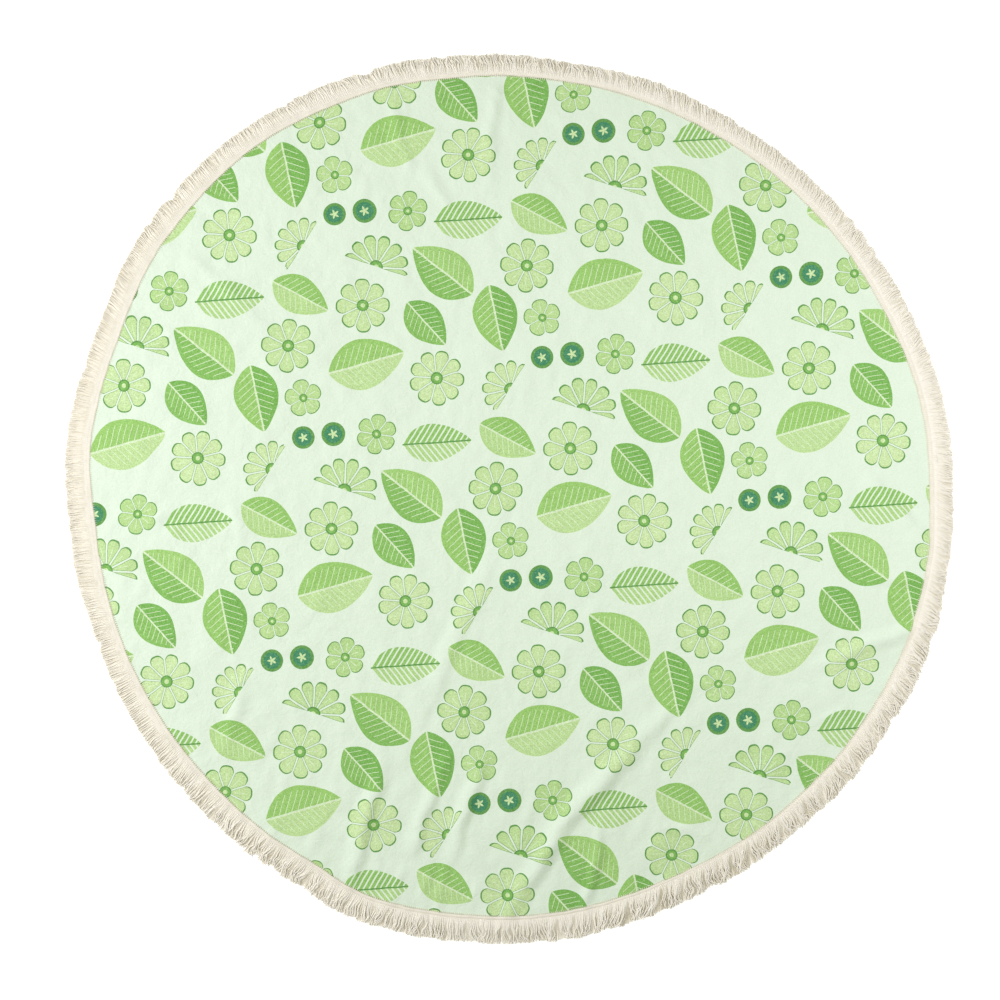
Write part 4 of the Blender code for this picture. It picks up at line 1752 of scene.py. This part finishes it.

        # Its tone, partly painted shade, its taper and its round section.
        own_tone = drawn(0.0, self.strand_tone, which, seed)
        shared_tone = drawn(0.0, self.bundle_tone, group, 5)
        chances = add(tree, MATH, shared_tone, own_tone, operation="ADD")
        layered = add(tree, MATH, chances, given["Tone and shade"], operation="ADD")
        off_tone = add(tree, MATH, layered, self.even_tone, operation="SUBTRACT")
        least = self.tone_at_rest
        strong = add(tree, MATH, stirred, 1 - least, least, operation="MULTIPLY_ADD")
        parted = add(tree, MATH, along, 1 / self.parting, operation="MULTIPLY", use_clamp=True)
        shown = add(tree, MATH, parted, strong, operation="MULTIPLY")
        # The angle's painted shading moves every layer's tone alike: painted shade above nought,
        # painted light below.
        base = add(tree, MATH, painted_shading, self.even_tone, operation="ADD")
        tone_and_shade = add(tree, MATH, off_tone, shown, base, operation="MULTIPLY_ADD")
        fact = {"Geometry": bent, "Name": "tone_and_shade", "Value": tone_and_shade}
        toned = add(tree, store, names=fact, data_type="FLOAT")
        thinner = add(tree, MATH, along, self.taper_power, operation="POWER")
        tip = add(tree, MATH, thinner, -self.tip_taper, 1.0, operation="MULTIPLY_ADD")
        grown = add(
            tree, MATH, along, self.root_swell, self.root_width, operation="MULTIPLY_ADD"
        )
        taper = add(tree, MATH, tip, grown, operation="MINIMUM")
        round_one = {"Resolution": 5, "Radius": thick}
        section = add(tree, "GeometryNodeCurvePrimitiveCircle", names=round_one)
        tube = {"Curve": toned, "Profile Curve": section, "Scale": taper, "Fill Caps": True}
        recipe.finish(add(tree, "GeometryNodeCurveToMesh", names=tube))
        return recipe

    def dress(self, *nodes: str) -> bpy.types.Object:
        """Builds the layer.

        Args:
            nodes: the CAD nodes that it stands for.

        Returns:
            The piece.
        """
        piece = self.recipe().run(self.guide())
        piece.data.shade_smooth()
        place_piece(piece, "fringe", *nodes)
        return piece


# --------------------------------------------------------------------------- the studio


class LampRow(NamedTuple):
    """A square soft box: its place, the length of its side and its power."""

    name: str
    x: float
    y: float
    z: float
    size: float
    watts: float


@dataclass
class Studio:
    """A plain white floor, soft boxes at the left and right, and a camera straight above."""

    lay: Lay
    view_width: float = 1.689
    view_x: float = -0.0135
    view_y: float = -0.0017
    lens: float = 50.0
    sensor: float = 36.0
    floor_side: float = 14.0
    floor_drop: float = 0.4 * MM
    floor_glow: float = 0.45
    sky_strength: float = 0.455
    far_clip: float = 50.0
    floor_colour: str = "#F9F9F9"
    glow_colour: str = "#FFFFFF"
    sky_colour: str = "#FBFDF1"
    lamp_colour: str = "#F9F8FF"
    lamps: tuple[LampRow, ...] = (
        LampRow("soft_box_left", -2.5, 0.3, 1.6, 1.0, 57.0),
        LampRow("soft_box_right", 1.1, 0.2, 1.2, 1.0, 9.4),
    )

    def floor(self) -> bpy.types.Object:
        """Makes the floor, a matt white sweep that glows a little.

        Returns:
            The floor.
        """
        half = self.floor_side / 2
        corners = np.array([(-half, -half), (half, -half), (half, half), (-half, half)])
        points = np.column_stack([corners, np.full(4, -self.floor_drop)])
        piece = solid_mesh("studio_floor", points, [np.array([[0, 1, 2, 3]])])
        material, _, _ = finish_material(
            "matt_white_sweep",
            self.floor_colour,
            {
                "Base Color": self.floor_colour,
                "Roughness": 1.0,
                "Specular IOR Level": 0.0,
                "Emission Color": self.glow_colour,
                "Emission Strength": self.floor_glow,
            },
        )
        piece.data.materials.append(material)
        return piece

    def light(self) -> None:
        """Sets the even light all round and the soft boxes."""
        world = bpy.data.worlds.new("soft_white_room")
        world.use_nodes = True
        tree = world.node_tree
        sky = tree.nodes["Background"]
        join(tree, self.sky_colour, sky.inputs["Color"])
        join(tree, self.sky_strength, sky.inputs["Strength"])
        bpy.context.scene.world = world
        for row in self.lamps:
            lamp = bpy.data.lights.new(row.name, "AREA")
            lamp.energy = row.watts
            lamp.color = linear(self.lamp_colour)[:3]
            lamp.size = row.size
            box = bpy.data.objects.new(row.name, lamp)
            box.location = (row.x, row.y, row.z)
            box.rotation_mode = "QUATERNION"
            box.rotation_quaternion = (-box.location).to_track_quat("-Z", "Y")
            box.visible_camera = False
            bpy.context.scene.collection.objects.link(box)

    def camera(self) -> None:
        """Hangs the camera above the towel, as in the photograph."""
        data = bpy.data.cameras.new("camera")
        data.lens = self.lens
        data.sensor_width = self.sensor
        data.clip_end = self.far_clip
        middle = self.lay.centre()
        above = self.view_width * self.lens / self.sensor
        hung = bpy.data.objects.new("camera", data)
        hung.location = (middle[0] + self.view_x, middle[1] + self.view_y, above)
        bpy.context.scene.collection.objects.link(hung)
        bpy.context.scene.camera = hung
        bpy.context.scene.view_settings.view_transform = "Standard"


def main() -> None:
    """Builds the studio and the towel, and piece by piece."""
    logging.basicConfig(level=logging.INFO, format="%(name)s: %(message)s")
    lay = Lay()
    studio = Studio(lay)
    studio.camera()
    studio.light()
    floor = studio.floor()

    tape = HeadingTape(lay, WovenCottonTape()).dress()
    thread = PolyesterThread().material()
    inner = StitchRow(
        lay,
        thread,
        "stitches_inner",
        across=-0.2 * MM,
        lift=0.7 * MM,
        crosswise=True,
        climb=0.5 * MM,
        length=4.0 * MM,
        thread=1.1 * MM,
    ).dress()
    outer = StitchRow(lay, thread, "stitches_outer", across=5.9 * MM, lift=0.8 * MM).dress()
    yarn = CottonYarn().material()
    # The lower layer is drawn darker than the others: painted shade for the shadow of the layers
    # above it.
    lower = FringeLayer(
        lay,
        yarn,
        "fringe_lower",
        3,
        strands=2400,
        points=6,
        yarn=2.4 * MM,
        rest_height=1.2 * MM,
        reach_share=1.0,
        looseness=0.05,
        tone_and_shade=0.26,
    )
    middle = FringeLayer(
        lay,
        yarn,
        "fringe_middle",
        11,
        strands=1750,
        points=9,
        yarn=2.1 * MM,
        rest_height=2.1 * MM,
        reach_share=0.98,
        looseness=0.8,
        tone_and_shade=-0.08,
    )
    upper = FringeLayer(
        lay,
        yarn,
        "fringe_upper",
        23,
        strands=1300,
        points=9,
        yarn=2.2 * MM,
        rest_height=3.1 * MM,
        reach_share=0.97,
        looseness=1.0,
        tone_and_shade=-0.28,
    )
    trim = [tape, inner, outer]
    for layer in (lower, middle, upper):
        trim.append(layer.dress("fringe_comb"))
    TowelCloth(lay, PrintRepeat(), PrintedTowelling()).dress(floor, trim)


if __name__ == "__main__":
    main()
